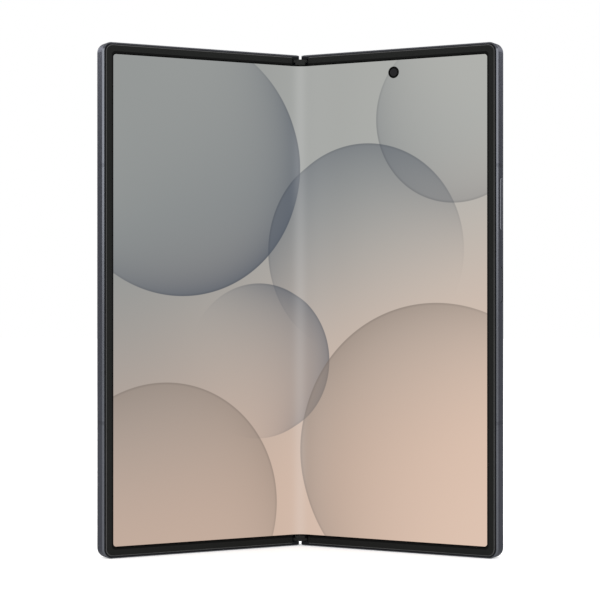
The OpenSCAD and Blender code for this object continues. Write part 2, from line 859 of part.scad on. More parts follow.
// ---------------------------------------------------------------------------
// Rotation arms
// ---------------------------------------------------------------------------
// Curved strip about the hinge axis, with a flat root that is screwed to the frame
module rotation_arm(span) {
  difference() {
    union() {
      translate([axis_u, axis_w, span[0]]) linear_extrude(span[1] - span[0]) {
        difference() {
          circle(r = arm_r + arm_t);
          circle(r = arm_r);
          polygon([
            [0, 0], for (t = [arm_sweep, 200, 280]) trim_r * [cos(t), sin(t)],
            [trim_r, -trim_r], [trim_r, root_w0 - axis_w], [0, root_w0 - axis_w]
          ]);
        }
      }
      block(axis_u + arm_r + 0.02, root_u, root_w0, root_w1, span[0], span[1]);
    }
    for (z = screw_row(span[0], span[1])) post(screw_u, z, 0, half_t, screw_r + 0.02);
  }
}

module rotation_arms(side) {
  spans = arm_spans(side);
  color(steel) for (i = [0, 1]) rotation_arm(spans[i]);
}

module rotation_arms_right() {
  place_right() rotation_arms(1);
}

module rotation_arms_left() {
  place_left() rotation_arms(-1);
}

module hinge_screws(side) {
  color(foil) for (s = arm_spans(side)) for (z = screw_row(s[0], s[1])) {
    post(screw_u, z, root_w0 - 0.35, root_w0, screw_head_r);
    post(screw_u, z, root_w0 - 0.1, boss_w - 0.5, screw_r);
  }
}

module hinge_screws_right() {
  place_right() hinge_screws(1);
}

module hinge_screws_left() {
  place_left() hinge_screws(-1);
}

// ---------------------------------------------------------------------------
// Outer glass and cameras
// ---------------------------------------------------------------------------
module camera_places() {
  for (i = [0 : camera_count - 1]) translate([island_u, 0, island_z1 - i * camera_pitch])
    children();
}

module island_outline(gap) {
  translate([island_u - island_r - gap, island_z0])
    square([island_w + 2 * gap, island_z1 - island_z0]);
  for (z = [island_z0, island_z1]) translate([island_u, z]) circle(r = island_r + gap);
}

module back_glass() {
  color(glass_black) place_right() layer(glass_w, half_t) difference() {
    glass_outline(glass_gap);
    island_outline(glass_gap);
    translate([flash_u, flash_z]) circle(r = flash_r + glass_gap);
  }
}

module cover_glass() {
  color(glass_black) place_left() layer(glass_w, half_t) glass_outline(glass_gap);
}

module camera_housing() {
  color(graphite) place_right() difference() {
    union() {
      layer(glass_w, camera_top_w - 0.4) island_outline(0);
      layer(camera_top_w - 0.4, camera_top_w) island_outline(-0.25);
    }
    camera_places() post(0, 0, 0, camera_top_w + over, lens_r);
  }
}

module camera_rings() {
  ring_w = camera_top_w + ring_up;
  color(steel) place_right() camera_places() difference() {
    union() {
      post(0, 0, camera_top_w, ring_w - 0.2, ring_r);
      post(0, 0, ring_w - 0.2, ring_w, ring_r - 0.2);
    }
    post(0, 0, 0, ring_w + over, lens_r);
  }
}

module camera_lenses() {
  color(glass_black) place_right() camera_places()
    post(0, 0, camera_top_w - 0.3, camera_top_w + ring_up - 0.15, lens_r - 0.03);
}

// Camera block with a round barrel that steps inwards to its lens
module camera_modules() {
  base = lens_r + 0.3;
  color(foil) place_right() camera_places() difference() {
    union() {
      block(-base, base, mid_back + board_t + 0.4, glass_w - 0.1, -base, base);
      post(0, 0, glass_w - 0.2, barrel_w, barrel_r);
    }
    for (b = barrel_bores) post(0, 0, barrel_w - b[1], barrel_w + over, barrel_r - b[0]);
  }
}

module flash_lens() {
  color("white") place_right() {
    post(flash_u, flash_z, glass_w - 0.3, half_t, flash_r);
  }
}

module inner_camera() {
  color(foil) place_right() {
    post(inner_camera_u, inner_camera_z, seat_w + 0.1, mid_back + board_t + 1,
      inner_camera_r - part_gap);
    block(inner_camera_u - 2.6, inner_camera_u + 2.6, mid_back + board_t + 0.2,
      mid_back + board_t + 1.6, inner_camera_z - 2.6, inner_camera_z + 2.6);
  }
}

module cover_camera() {
  color(foil) place_left() {
    block(max(cover_camera_u - cover_camera_half, tray_u + reader_w / 2 + part_gap),
      cover_camera_u + cover_camera_half, mid_back + part_gap, glass_w - 1.2,
      cover_camera_z - cover_camera_half, cover_camera_z + cover_camera_half);
    post(cover_camera_u, cover_camera_z, glass_w - 1.3, glass_w - 0.05, 1.7);
  }
}

module cover_display() {
  color(foil) place_left() difference() {
    block(cavity_u0 + 0.6, cavity_u1 - 0.6, glass_w - cover_display_t, glass_w,
      cavity_z0 + 2, body_h - cavity_z0 - 2);
    post(cover_camera_u, cover_camera_z, 0, half_t, 1.8);
  }
}

// ---------------------------------------------------------------------------
// Keys
// ---------------------------------------------------------------------------
// Cap through the side wall, with a flange that holds it in
module key(z, length, top_u) {
  translate([0, key_mid, z]) rotate([0, 90, 0]) {
    translate([0, 0, flange_u]) linear_extrude(top_u - 0.15 - flange_u) slot(length, key_w);
    translate([0, 0, top_u - 0.15]) linear_extrude(0.15) slot(length - 0.2, key_w - 0.2);
    translate([0, 0, flange_u - key_flange]) linear_extrude(key_flange)
      slot(length + 1.4, key_w + 0.6);
  }
}

module volume_key() {
  color(graphite) place_right() key(volume_mid, volume_l, half_w + volume_up);
}

module side_key() {
  color(graphite) place_right() key(side_key_mid, side_key_l, half_w - side_key_sunk);
}

module key_switches() {
  strip_u = flange_u - key_flange - 1.2;
  color(board_green) place_right() {
    block(strip_u, strip_u + 0.6, key_mid - 1, key_mid + 1, side_key_mid - side_key_l / 2,
      volume_mid + volume_l / 2);
    for (z = [side_key_mid, volume_mid - volume_l / 3, volume_mid + volume_l / 3])
      translate([strip_u + 0.6, key_mid, z]) rotate([0, 90, 0]) cylinder(h = 0.28, r = 0.8);
  }
}

// ---------------------------------------------------------------------------
// Parts inside the camera half
// ---------------------------------------------------------------------------
module board(u0, u1, z0, z1) {
  block(u0, u1, mid_back + part_gap, mid_back + part_gap + board_t, z0, z1);
}

module main_board() {
  color(board_green) place_right() difference() {
    board(inner_u0, cavity_u1 - 3.4, board_z0, body_h - cavity_z0 - 1);
    post(inner_camera_u, inner_camera_z, 0, half_t, inner_camera_r + 0.4);
    block(island_u - 3, cavity_u1, 0, half_t, volume_mid - volume_l,
      volume_mid - volume_l / 2 - 1);
  }
}

module board_shields() {
  shield_w = board_w + 1.3;
  shield_u = inner_u0 + 1.5;
  color(steel) place_right() {
    block(shield_u, flash_u - 3.5, board_w, shield_w, board_z0 + 6, inner_camera_z - 7);
    block(shield_u, inner_camera_u - 4, board_w, shield_w, inner_camera_z - 5,
      body_h - cavity_z0 - 2.5);
  }
}

module right_battery() {
  color(foil) place_right()
    block(inner_u0 + 0.5, cavity_u1 - 4, mid_back + part_gap, mid_back + part_gap + battery_t,
      battery_z0, board_z0 - board_gap);
}

module charging_coil() {
  w0 = mid_back + part_gap + battery_t + 0.05;
  coil_z = (battery_z0 + board_z0 - board_gap) / 2;
  coil_u = (inner_u0 + cavity_u1) / 2;
  color("#b06a3a") place_right() difference() {
    post(coil_u, coil_z, w0, w0 + 0.2, coil_r);
    post(coil_u, coil_z, w0 - over, w0 + over, coil_hole_r);
  }
}

module usb_socket() {
  outer_w = socket_w + 2 * socket_wall;
  outer_h = socket_h + 2 * socket_wall;
  color(steel) place_right() translate([socket_u, socket_mid, 0]) {
    difference() {
      translate([0, 0, 0.3]) linear_extrude(socket_d + 0.6) slot(outer_w, outer_h);
      linear_extrude(socket_d + 0.3) slot(socket_w, socket_h);
    }
    translate([-3.35, -0.35, 1.2]) cube([6.7, 0.7, socket_d - 0.6]);
  }
}

module charge_board() {
  color(board_green) place_right()
    board(right_microphone_u - 1, motor_u0 - 3, socket_d + 1.4, battery_z0 - board_gap);
}

module vibration_motor() {
  w0 = mid_back + part_gap;
  tab_z = motor_z0 + motor_h / 2;
  color(steel) place_right() {
    block(motor_u0, motor_u1, w0, w0 + 2.8, motor_z0, motor_z0 + motor_h);
    block(motor_u0 - 1, motor_u1 + 1, w0, w0 + 0.4, tab_z - 1, tab_z + 1);
  }
}

// ---------------------------------------------------------------------------
// Parts inside the cover-screen half
// ---------------------------------------------------------------------------
module left_battery() {
  color(foil) place_left()
    block(inner_u0 + 0.5, cavity_u1 - 4, mid_back + part_gap,
      mid_back + part_gap + left_battery_t, left_battery_z0, left_battery_z1);
}

module left_board() {
  color(board_green) place_left()
    board(inner_u0, cavity_u1 - 3, left_battery_z1 + board_gap, body_h - tray_l - 3);
}

module speaker_board() {
  color(board_green) place_left()
    board(inner_u0, speaker_u0 - 6, cavity_z0 + 2.4, left_battery_z0 - board_gap);
}

module speaker_body(u0, z0, z1) {
  block(u0, cavity_u1 - 2, mid_back + part_gap, glass_w - cover_display_t - 0.1, z0, z1);
}

module speaker_bottom() {
  color(foil) place_left() speaker_body(speaker_u0, cavity_z0 + 0.3, cavity_z0 + 15);
}

module speaker_top() {
  color(foil) place_left() speaker_body(cover_camera_u + cover_camera_half + 1,
    body_h - cavity_z0 - 12, body_h - cavity_z0 - 0.3);
}

// Card tray: a face that is flush with the edge and a thin frame that holds the card
module sim_tray() {
  color(graphite) place_left() translate([tray_u, tray_mid, body_h]) difference() {
    union() {
      translate([0, 0, -end_wall]) linear_extrude(end_wall) slot(tray_w, tray_h);
      translate([-card_frame_w / 2, -card_frame_t / 2, -tray_l])
        cube([card_frame_w, card_frame_t, tray_l - end_wall + 0.1]);
    }
    translate([-card_frame_w / 2 + 0.7, -over, -tray_l + 1.6])
      cube([card_frame_w - 1.4, 2 * over, tray_l - 6.8]);
    translate([tray_w / 2 - 1.6, 0, -end_wall - over])
      cylinder(h = end_wall + 2 * over, r = 0.4);
  }
}

module sim_reader() {
  color(steel) place_left() translate([tray_u, tray_mid, body_h]) difference() {
    translate([-reader_w / 2, -reader_t / 2, -tray_l - 0.8])
      cube([reader_w, reader_t, tray_l - 1.6]);
    translate([-reader_w / 2 + 0.55, -reader_t / 2 + 0.5, -tray_l - 0.3])
      cube([reader_w - 1.1, reader_t - 1, tray_l + over]);
  }
}

// ---------------------------------------------------------------------------
// The same drawing serves both sides for these
// ---------------------------------------------------------------------------
module right_bezel() {
  place_right() bezel();
}

module left_bezel() {
  place_left() bezel();
}

module antenna_bands_right() {
  place_right() antenna_bands();
}

module antenna_bands_left() {
  place_left() antenna_bands();
}

spine_housing();
hinge_bracket_upper();
hinge_bracket_lower();
gear_bracket();
idler_gear_right();
idler_gear_left();
display_support_bars();
crease_cap_top();
crease_cap_bottom();
inner_display_fold();
right_frame();
right_bezel();
inner_display_right();
display_plate_right();
wing_plate_right();
rotation_arms_right();
sync_arm_right();
hinge_screws_right();
antenna_bands_right();
back_glass();
camera_housing();
camera_rings();
camera_lenses();
camera_modules();
flash_lens();
inner_camera();
main_board();
board_shields();
right_battery();
charging_coil();
usb_socket();
charge_board();
vibration_motor();
key_switches();
volume_key();
side_key();
left_frame();
left_bezel();
inner_display_left();
display_plate_left();
wing_plate_left();
rotation_arms_left();
sync_arm_left();
hinge_screws_left();
antenna_bands_left();
cover_glass();
cover_display();
cover_camera();
left_battery();
left_board();
speaker_board();
speaker_top();
speaker_bottom();
sim_tray();
sim_reader();
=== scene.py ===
# %% [markdown]
# # Dressing a book-style folding phone
# The construction comes packed: every rigid piece is already there at its real size. This script
# gives each piece the finish of the real one, and models what a solid can't show, such as the
# flexible screen that bends over the hinge, the lenses and the soft caps of the crease.

# %% Load the frame
import json
import math

import bpy
from mathutils import Matrix, Vector


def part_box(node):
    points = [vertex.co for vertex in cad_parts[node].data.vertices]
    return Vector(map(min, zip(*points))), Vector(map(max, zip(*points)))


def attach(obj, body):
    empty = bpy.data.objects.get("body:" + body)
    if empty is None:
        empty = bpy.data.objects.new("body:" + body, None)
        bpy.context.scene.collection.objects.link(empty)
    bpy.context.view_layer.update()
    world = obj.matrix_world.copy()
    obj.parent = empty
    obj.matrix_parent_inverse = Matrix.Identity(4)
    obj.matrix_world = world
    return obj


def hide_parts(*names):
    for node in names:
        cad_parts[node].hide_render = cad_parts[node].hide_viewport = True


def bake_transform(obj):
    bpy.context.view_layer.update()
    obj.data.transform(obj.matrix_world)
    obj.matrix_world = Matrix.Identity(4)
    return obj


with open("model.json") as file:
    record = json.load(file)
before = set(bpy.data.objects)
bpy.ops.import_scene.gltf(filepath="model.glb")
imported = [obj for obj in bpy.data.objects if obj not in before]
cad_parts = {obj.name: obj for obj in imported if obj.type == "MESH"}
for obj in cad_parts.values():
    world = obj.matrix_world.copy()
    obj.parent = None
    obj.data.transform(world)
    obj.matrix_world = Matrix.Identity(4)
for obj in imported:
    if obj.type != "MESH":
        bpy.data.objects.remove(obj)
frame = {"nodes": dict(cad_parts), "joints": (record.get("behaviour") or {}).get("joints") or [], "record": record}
nodes = frame["nodes"]
joints = {joint["name"]: joint for joint in frame["joints"]}
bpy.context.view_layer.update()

# %% [markdown]
# Both halves are drawn flat and then folded. A point of a flat half is written as (u, w, z): u from
# the fold's centre plane, w from the frame's front towards the back, z up. The hinge axis and the
# angle come from the joints, so a piece drawn flat lands exactly on its folded half.

# %% Units and the folded halves
MM = 0.001
AXIS_W = 1.325 * MM
FOLD = math.radians(-joints["right_fold"]["range_deg"][0])
AXIS_X, AXIS_Y = joints["right_fold"]["pos_m"][:2]

to_axis = Matrix.Translation((-AXIS_X, -AXIS_W, 0))
from_axis = Matrix.Translation((AXIS_X, AXIS_Y, 0))
RIGHT_PLACE = from_axis @ Matrix.Rotation(-FOLD, 4, "Z") @ to_axis
MIRROR = Matrix.Scale(-1, 4, (1, 0, 0))
BODY_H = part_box("right_frame")[1].z
print("fold:", round(math.degrees(FOLD), 2), "degrees, height:", round(BODY_H / MM, 2), "mm")


def seat(piece, side):
    """Folds a piece that is drawn flat onto the right half, or onto the left one as its mirror."""
    piece.data.transform(RIGHT_PLACE)
    if side == "left":
        piece.data.transform(MIRROR)
        piece.data.flip_normals()
    return piece

# %% [markdown]
# ## Camera, floor and light
# The photograph is taken from straight ahead, level with the middle of the phone, with a long lens.
# The lens and a very small shift come from fitting the phone's outline. The Standard view transform
# shows a colour as it is written, which makes it easy to compare with the photograph.

# %% Camera
FILM_W = 36.0
LENS = 106.469
LENS_SHIFT = (-0.00041, 0.00052)
CAMERA_PLACE = (0.0, -0.54295, 0.07675)

camera_data = bpy.data.cameras.new("camera")
camera_data.sensor_width = FILM_W
camera_data.lens = LENS
camera_data.shift_x, camera_data.shift_y = LENS_SHIFT
camera_data.clip_start = 0.01
camera = bpy.data.objects.new("camera", camera_data)
camera.location = CAMERA_PLACE
camera.rotation_euler = (math.radians(90), 0, 0)
bpy.context.scene.collection.objects.link(camera)
bpy.context.scene.camera = camera
bpy.context.scene.view_settings.view_transform = "Standard"
print("camera", CAMERA_PLACE, "lens", LENS)

# %% [markdown]
# Materials are built from nodes in code. Three habits keep that readable: a colour is written as it
# looks on the screen and converted once, a new node gets the values of its sockets by name, and a
# formula is a chain of Math nodes with one call for each.

# %% Colours, nodes and materials
def paint(red, green, blue):
    """Linear colour of a screen colour that is given from 0 to 255."""
    values = []
    for level in (red / 255, green / 255, blue / 255):
        values.append(level / 12.92 if level <= 0.04045 else ((level + 0.055) / 1.055) ** 2.4)
    return (*values, 1.0)


def add(tree, kind, **values):
    """A new node; each value goes to its socket, or to its own setting where there is none."""
    node = tree.nodes.new(kind)
    for name, value in values.items():
        socket = node.inputs.get(name.replace("_", " "))
        if socket is None:
            setattr(node, name, value)
        else:
            socket.default_value = value
    return node


def new_material(name, **values):
    """A material with one Principled shader, whose sockets get the given constants."""
    material = bpy.data.materials.new(name)
    material.use_nodes = True
    shader = material.node_tree.nodes["Principled BSDF"]
    for socket, value in values.items():
        shader.inputs[socket.replace("_", " ")].default_value = value
    return material, material.node_tree, shader


def place_of(tree):
    """Object coordinates, which stay on the piece when it moves."""
    return tree.nodes.new("ShaderNodeTexCoord").outputs["Object"]


def wear(piece, material):
    """Gives a piece one material in all its slots."""
    piece.data.materials.clear()
    piece.data.materials.append(material)


# %% Sums and blends
# Numbers of the factor, first and second colour among the inputs of a colour Mix node, and of
# the colour among its outputs
MIX_INPUTS = (0, 6, 7)
MIX_RESULT = 2


def sum_of(tree, operation, first, second=None, third=None):
    """A Math node; each value is a number or another node's output."""
    node = tree.nodes.new("ShaderNodeMath")
    node.operation = operation
    for socket, value in zip(node.inputs, (first, second, third)):
        if value is None:
            continue
        if isinstance(value, (int, float)):
            socket.default_value = value
        else:
            tree.links.new(value, socket)
    return node.outputs[0]


def blend_colour(tree, factor, first, second, kind="MIX"):
    """A Mix node for colours; each value is a constant or another node's output."""
    node = tree.nodes.new("ShaderNodeMix")
    node.data_type = "RGBA"
    node.blend_type = kind
    for number, value in zip(MIX_INPUTS, (factor, first, second)):
        socket = node.inputs[number]
        if isinstance(value, (int, float, tuple)):
            socket.default_value = value
        else:
            tree.links.new(value, socket)
    return node.outputs[MIX_RESULT]


# %% Ramps and rays
def ramp(tree, value, start, end, low=0.0, high=1.0, kind="SMOOTHSTEP"):
    """The low value where the input is at start, the high one at end, smooth between them."""
    node = add(tree, "ShaderNodeMapRange", interpolation_type=kind)
    span = {"From Min": start, "From Max": end, "To Min": low, "To Max": high}
    for label, level in span.items():
        node.inputs[label].default_value = level
    tree.links.new(value, node.inputs["Value"])
    return node.outputs["Result"]


def seen_directly(tree):
    """1 for the camera, reflections and glass, 0 for light that falls on a surface."""
    rays = tree.nodes.new("ShaderNodeLightPath").outputs
    seen = sum_of(tree, "MAXIMUM", rays["Is Camera Ray"], rays["Is Glossy Ray"])
    return sum_of(tree, "MAXIMUM", seen, rays["Is Transmission Ray"])


# %% [markdown]
# The background is pure white. A world of that strength would also light the phone too evenly, so
# the strength depends on the ray: 1 for what is seen, less for what only lights a surface. The
# floor does the same with a little emission, and keeps the soft shadow under the phone.

# %% World
AMBIENT = 0.8

world = bpy.data.worlds.new("white_studio")
world.use_nodes = True
bpy.context.scene.world = world
tree = world.node_tree
strength = sum_of(tree, "MULTIPLY_ADD", seen_directly(tree), 1 - AMBIENT, AMBIENT)
tree.links.new(strength, tree.nodes["Background"].inputs["Strength"])
tree.nodes["Background"].inputs["Color"].default_value = (1, 1, 1, 1)
print("world", world.name, "lights with strength", AMBIENT)

# %% Floor
FLOOR_SIZE = 6.0
NEAR_GLOW = 0.5
FAR_GLOW = 0.6
GLOW_REACH = (0.1, 0.5)

bpy.ops.object.select_all(action="DESELECT")
bpy.ops.mesh.primitive_plane_add(size=FLOOR_SIZE, location=(0, 0, 0))
floor = bpy.context.object
floor.name = "floor"
material, tree, shader = new_material("pale_floor", Base_Color=(0.8, 0.8, 0.8, 1), Roughness=0.9)
shader.inputs["Specular IOR Level"].default_value = 0.0
shader.inputs["Emission Color"].default_value = (1, 1, 1, 1)
spot = add(tree, "ShaderNodeVectorMath", operation="LENGTH")
tree.links.new(place_of(tree), spot.inputs[0])
glow = ramp(tree, spot.outputs["Value"], *GLOW_REACH, NEAR_GLOW, FAR_GLOW)
glow = sum_of(tree, "MULTIPLY", seen_directly(tree), glow)
tree.links.new(glow, shader.inputs["Emission Strength"])
wear(floor, material)
print("floor", FLOOR_SIZE, "m wide")

# %% [markdown]
# The light comes from five soft boxes. Two strips beside the phone draw the bright line on the
# bevels, two boxes behind it brighten the outer sides towards the top, and a large one overhead
# fills in. A metal edge shows what it mirrors, so each lamp was placed where an edge looks.

# %% Soft boxes
def soft_box(name, place, target, width, height, power):
    """A rectangular lamp that looks at a point."""
    data = bpy.data.lights.new(name, "AREA")
    data.shape = "RECTANGLE"
    data.size = width
    data.size_y = height
    data.energy = power
    lamp = bpy.data.objects.new(name, data)
    lamp.location = place
    lamp.rotation_euler = (Vector(target) - Vector(place)).to_track_quat("-Z", "Y").to_euler()
    bpy.context.scene.collection.objects.link(lamp)


AIM = (0, 0, 0.12)
# Name, place, width, height and power
SOFT_BOXES = [
    ("strip_left", (-0.66, -0.1, 0.3), 0.3, 0.4, 1.05),
    ("strip_right", (0.66, -0.1, 0.3), 0.3, 0.4, 0.88),
    ("box_left", (-0.55, 0.45, 0.42), 0.3, 0.3, 2.1),
    ("box_right", (0.55, 0.45, 0.42), 0.3, 0.3, 1.5),
    ("box_top", (0, -0.2, 1.1), 0.9, 0.9, 1.2),
]
for name, place, width, height, power in SOFT_BOXES:
    soft_box(name, place, AIM, width, height, power)
print("soft boxes:", len(SOFT_BOXES))

# %% [markdown]
# ## Shared groups
# What several materials need is a node group, built once and placed in each with its own values.
# The first makes the fine grain of blasted metal and moulded plastic, and a slow change of tone
# over larger patches, because no dyed or moulded surface is quite even.

# %% Group sockets
def new_group(name, inputs, outputs):
    """An empty shader group with named sockets: inputs and outputs are (name, type) pairs."""
    group = bpy.data.node_groups.new(name, "ShaderNodeTree")
    for label, kind in inputs:
        group.interface.new_socket(label, in_out="INPUT", socket_type="NodeSocket" + kind)
    for label, kind in outputs:
        group.interface.new_socket(label, in_out="OUTPUT", socket_type="NodeSocket" + kind)
    start = group.nodes.new("NodeGroupInput")
    end = group.nodes.new("NodeGroupOutput")
    return group, start.outputs, end.inputs


def use_group(tree, group, **values):
    """Places a shared group in a material, with its own values."""
    node = tree.nodes.new("ShaderNodeGroup")
    node.node_tree = group
    for name, value in values.items():
        node.inputs[name.replace("_", " ")].default_value = value
    return node


# %% Fine grain
PATCHES = 38.0


def make_grain():
    """The height of the fine grain, and a tone that changes slowly over larger patches."""
    group, start, end = new_group(
        "fine_grain",
        [("Place", "Vector"), ("Size", "Float"), ("Spread", "Float")],
        [("Height", "Float"), ("Tone", "Float")],
    )
    fine = add(group, "ShaderNodeTexNoise", Detail=2.0)
    group.links.new(start["Place"], fine.inputs["Vector"])
    group.links.new(start["Size"], fine.inputs["Scale"])
    broad = add(group, "ShaderNodeTexNoise", Scale=PATCHES, Detail=3.0)
    group.links.new(start["Place"], broad.inputs["Vector"])
    centred = sum_of(group, "SUBTRACT", broad.outputs["Fac"], 0.5)
    spread = sum_of(group, "MULTIPLY", centred, start["Spread"])
    tone = sum_of(group, "ADD", spread, 1.0)
    group.links.new(fine.outputs["Fac"], end["Height"])
    group.links.new(tone, end["Tone"])
    return group


FINE_GRAIN = make_grain()
print("group", FINE_GRAIN.name)

# %% [markdown]
# Some finishes depend on which way a face looks: the bevel is cut bright, with a painted highlight,
# and the seat behind it is black. The two halves are folded, so a face's normal is compared with the front of its
# own half.
# It is the normal of the object, not of the view, so the finish stays where it is from every side.

# %% Tilt from a half's front
def make_tilt():
    """How much a face looks to its half's front: 1 on the front, 0 on the sides, -1 behind."""
    group, start, end = new_group(
        "tilt_from_front", [("Place", "Vector"), ("Facing", "Vector")], [("Front", "Float")]
    )
    place = add(group, "ShaderNodeSeparateXYZ")
    group.links.new(start["Place"], place.inputs[0])
    facing = add(group, "ShaderNodeSeparateXYZ")
    group.links.new(start["Facing"], facing.inputs[0])
    half = sum_of(group, "SIGN", place.outputs["X"])
    inward = sum_of(group, "MULTIPLY", half, facing.outputs["X"])
    inward = sum_of(group, "MULTIPLY", inward, -math.sin(FOLD))
    front = sum_of(group, "MULTIPLY_ADD", facing.outputs["Y"], -math.cos(FOLD), inward)
    group.links.new(front, end["Front"])
    return group


TILT = make_tilt()
print("group", TILT.name)


def front_share(tree):
    """The Front output of the tilt group, for the face that is shaded."""
    tilt = use_group(tree, TILT)
    surface = tree.nodes.new("ShaderNodeTexCoord").outputs
    tree.links.new(surface["Object"], tilt.inputs["Place"])
    tree.links.new(surface["Normal"], tilt.inputs["Facing"])
    return tilt.outputs["Front"]


# %% [markdown]
# Other finishes are printed at a place on the flat half, such as the black ring around a camera.
# This group undoes the fold: it mirrors the left half over, turns the point back about the hinge
# axis, and gives the millimetres that the half was drawn in.

# %% Place on the flat half
def make_flat_place():
    """Turns a place in the row frame into the flat half's (u, w, z) in millimetres."""
    group, start, end = new_group("flat_place", [("Place", "Vector")], [("Flat", "Vector")])
    parts = add(group, "ShaderNodeSeparateXYZ")
    group.links.new(start["Place"], parts.inputs[0])
    aside = add(group, "ShaderNodeCombineXYZ")
    group.links.new(sum_of(group, "ABSOLUTE", parts.outputs["X"]), aside.inputs["X"])
    group.links.new(parts.outputs["Y"], aside.inputs["Y"])
    group.links.new(parts.outputs["Z"], aside.inputs["Z"])
    centred = add(group, "ShaderNodeVectorMath", operation="SUBTRACT")
    group.links.new(aside.outputs[0], centred.inputs[0])
    centred.inputs[1].default_value = (AXIS_X, AXIS_Y, 0)
    turned_back = add(group, "ShaderNodeVectorRotate", rotation_type="Z_AXIS", Angle=FOLD)
    group.links.new(centred.outputs[0], turned_back.inputs["Vector"])
    moved = add(group, "ShaderNodeVectorMath", operation="ADD")
    group.links.new(turned_back.outputs[0], moved.inputs[0])
    moved.inputs[1].default_value = (AXIS_X, AXIS_W, 0)
    scaled = add(group, "ShaderNodeVectorMath", operation="SCALE")
    group.links.new(moved.outputs[0], scaled.inputs[0])
    scaled.inputs["Scale"].default_value = 1 / MM
    group.links.new(scaled.outputs[0], end["Flat"])
    return group


FLAT_PLACE = make_flat_place()
print("group", FLAT_PLACE.name)


# %% Readings on the flat half
def flat_parts(tree):
    """The flat half's u, w and z of the shaded point, in millimetres."""
    flat = use_group(tree, FLAT_PLACE)
    tree.links.new(place_of(tree), flat.inputs["Place"])
    parts = add(tree, "ShaderNodeSeparateXYZ")
    tree.links.new(flat.outputs["Flat"], parts.inputs[0])
    return parts.outputs


def distance_from(tree, parts, u, z):
    """Distance on the flat half's face from the point (u, z)."""
    offset = add(tree, "ShaderNodeCombineXYZ")
    tree.links.new(sum_of(tree, "SUBTRACT", parts["X"], u), offset.inputs["X"])
    tree.links.new(sum_of(tree, "SUBTRACT", parts["Z"], z), offset.inputs["Z"])
    length = add(tree, "ShaderNodeVectorMath", operation="LENGTH")
    tree.links.new(offset.outputs[0], length.inputs[0])
    return length.outputs["Value"]


def rounded_area(tree, parts, low, high, radius):
    """1 inside a rectangle with round corners between two (u, z) corners, 0 outside."""
    corner = add(tree, "ShaderNodeCombineXYZ")
    for axis, first, last in (("X", low[0], high[0]), ("Z", low[1], high[1])):
        middle, half = (first + last) / 2, (last - first) / 2
        away = sum_of(tree, "ABSOLUTE", sum_of(tree, "SUBTRACT", parts[axis], middle))
        away = sum_of(tree, "MAXIMUM", sum_of(tree, "SUBTRACT", away, half - radius), 0.0)
        tree.links.new(away, corner.inputs[axis])
    reach = add(tree, "ShaderNodeVectorMath", operation="LENGTH")
    tree.links.new(corner.outputs[0], reach.inputs[0])
    return sum_of(tree, "LESS_THAN", reach.outputs["Value"], radius)


# %% [markdown]
# ## Metals
# The frame, the spine, the keys and the camera island are aluminium, blasted with fine beads and
# dyed graphite. A dark dyed metal mirrors less at a flat angle than a bare one, which the specular
# tint sets. The bevel is cut after dyeing, so it is smoother, and its lighter colour is partly that
# cut and partly a painted highlight.

# %% Grained finishes
GRAIN_DEPTH = 0.02 * MM


def grained(name, colour, size, spread, bump, **values):
    """A material whose colour varies a little in patches and whose surface has a fine grain."""
    material, tree, shader = new_material(name, **values)
    grain = use_group(tree, FINE_GRAIN, Size=size, Spread=spread)
    tree.links.new(place_of(tree), grain.inputs["Place"])
    toned = add(tree, "ShaderNodeVectorMath", operation="SCALE")
    toned.inputs[0].default_value = colour[:3]
    tree.links.new(grain.outputs["Tone"], toned.inputs["Scale"])
    tree.links.new(toned.outputs[0], shader.inputs["Base Color"])
    bumped = add(tree, "ShaderNodeBump", Strength=bump, Distance=GRAIN_DEPTH)
    tree.links.new(grain.outputs["Height"], bumped.inputs["Height"])
    tree.links.new(bumped.outputs["Normal"], shader.inputs["Normal"])
    return material


# %% Frame metal
BLASTED = 9000.0
DYED_TINT = (0.6, 0.6, 0.62, 1)
SIDE_ROUGH, BEVEL_ROUGH = 0.42, 0.26
# Where the bevel and the bezel's seat begin, as a share of the front's direction
BEVEL_FRONT = (0.1, 0.3)
SEAT_FRONT = (0.7, 0.9)
SEAT_BLACK = paint(30, 31, 33)
# Painted highlight: the seat is lighter along its upper edge only, where the light from above falls
SEAT_TOP_HIGHLIGHT = paint(66, 67, 71)
# The seat gets a painted highlight from this far below the upper edge, in millimetres
TOP_HIGHLIGHT_FROM, TOP_HIGHLIGHT_FULL = 0.7, 0.5


def frame_metal(name, side_colour, bevel_cut_and_highlight):
    """Blasted sides, a bevel whose lighter colour is partly a painted highlight, and a black seat
    for the bezel that is lighter along the top as a painted highlight.
    """
    material = grained(
        name,
        side_colour,
        size=BLASTED,
        spread=0.12,
        bump=0.25,
        Metallic=1.0,
        Roughness=SIDE_ROUGH,
        Specular_Tint=DYED_TINT,
    )
    tree = material.node_tree
    shader = tree.nodes["Principled BSDF"]
    front = front_share(tree)
    bevel = ramp(tree, front, *BEVEL_FRONT)
    seat_face = ramp(tree, front, *SEAT_FRONT)
    sides = shader.inputs["Base Color"].links[0].from_socket
    # The bevel's lighter colour is partly a painted highlight
    colour = blend_colour(tree, bevel, sides, bevel_cut_and_highlight)
    top = BODY_H / MM
    # Painted highlight along the seat's upper edge only
    top_highlight = ramp(tree, flat_parts(tree)["Z"], top - TOP_HIGHLIGHT_FROM, top - TOP_HIGHLIGHT_FULL)
    seat_colour = blend_colour(tree, top_highlight, SEAT_BLACK, SEAT_TOP_HIGHLIGHT)
    colour = blend_colour(tree, seat_face, colour, seat_colour)
    tree.links.new(colour, shader.inputs["Base Color"])
    rough = sum_of(tree, "MULTIPLY_ADD", bevel, BEVEL_ROUGH - SIDE_ROUGH, SIDE_ROUGH)
    tree.links.new(rough, shader.inputs["Roughness"])
    return material


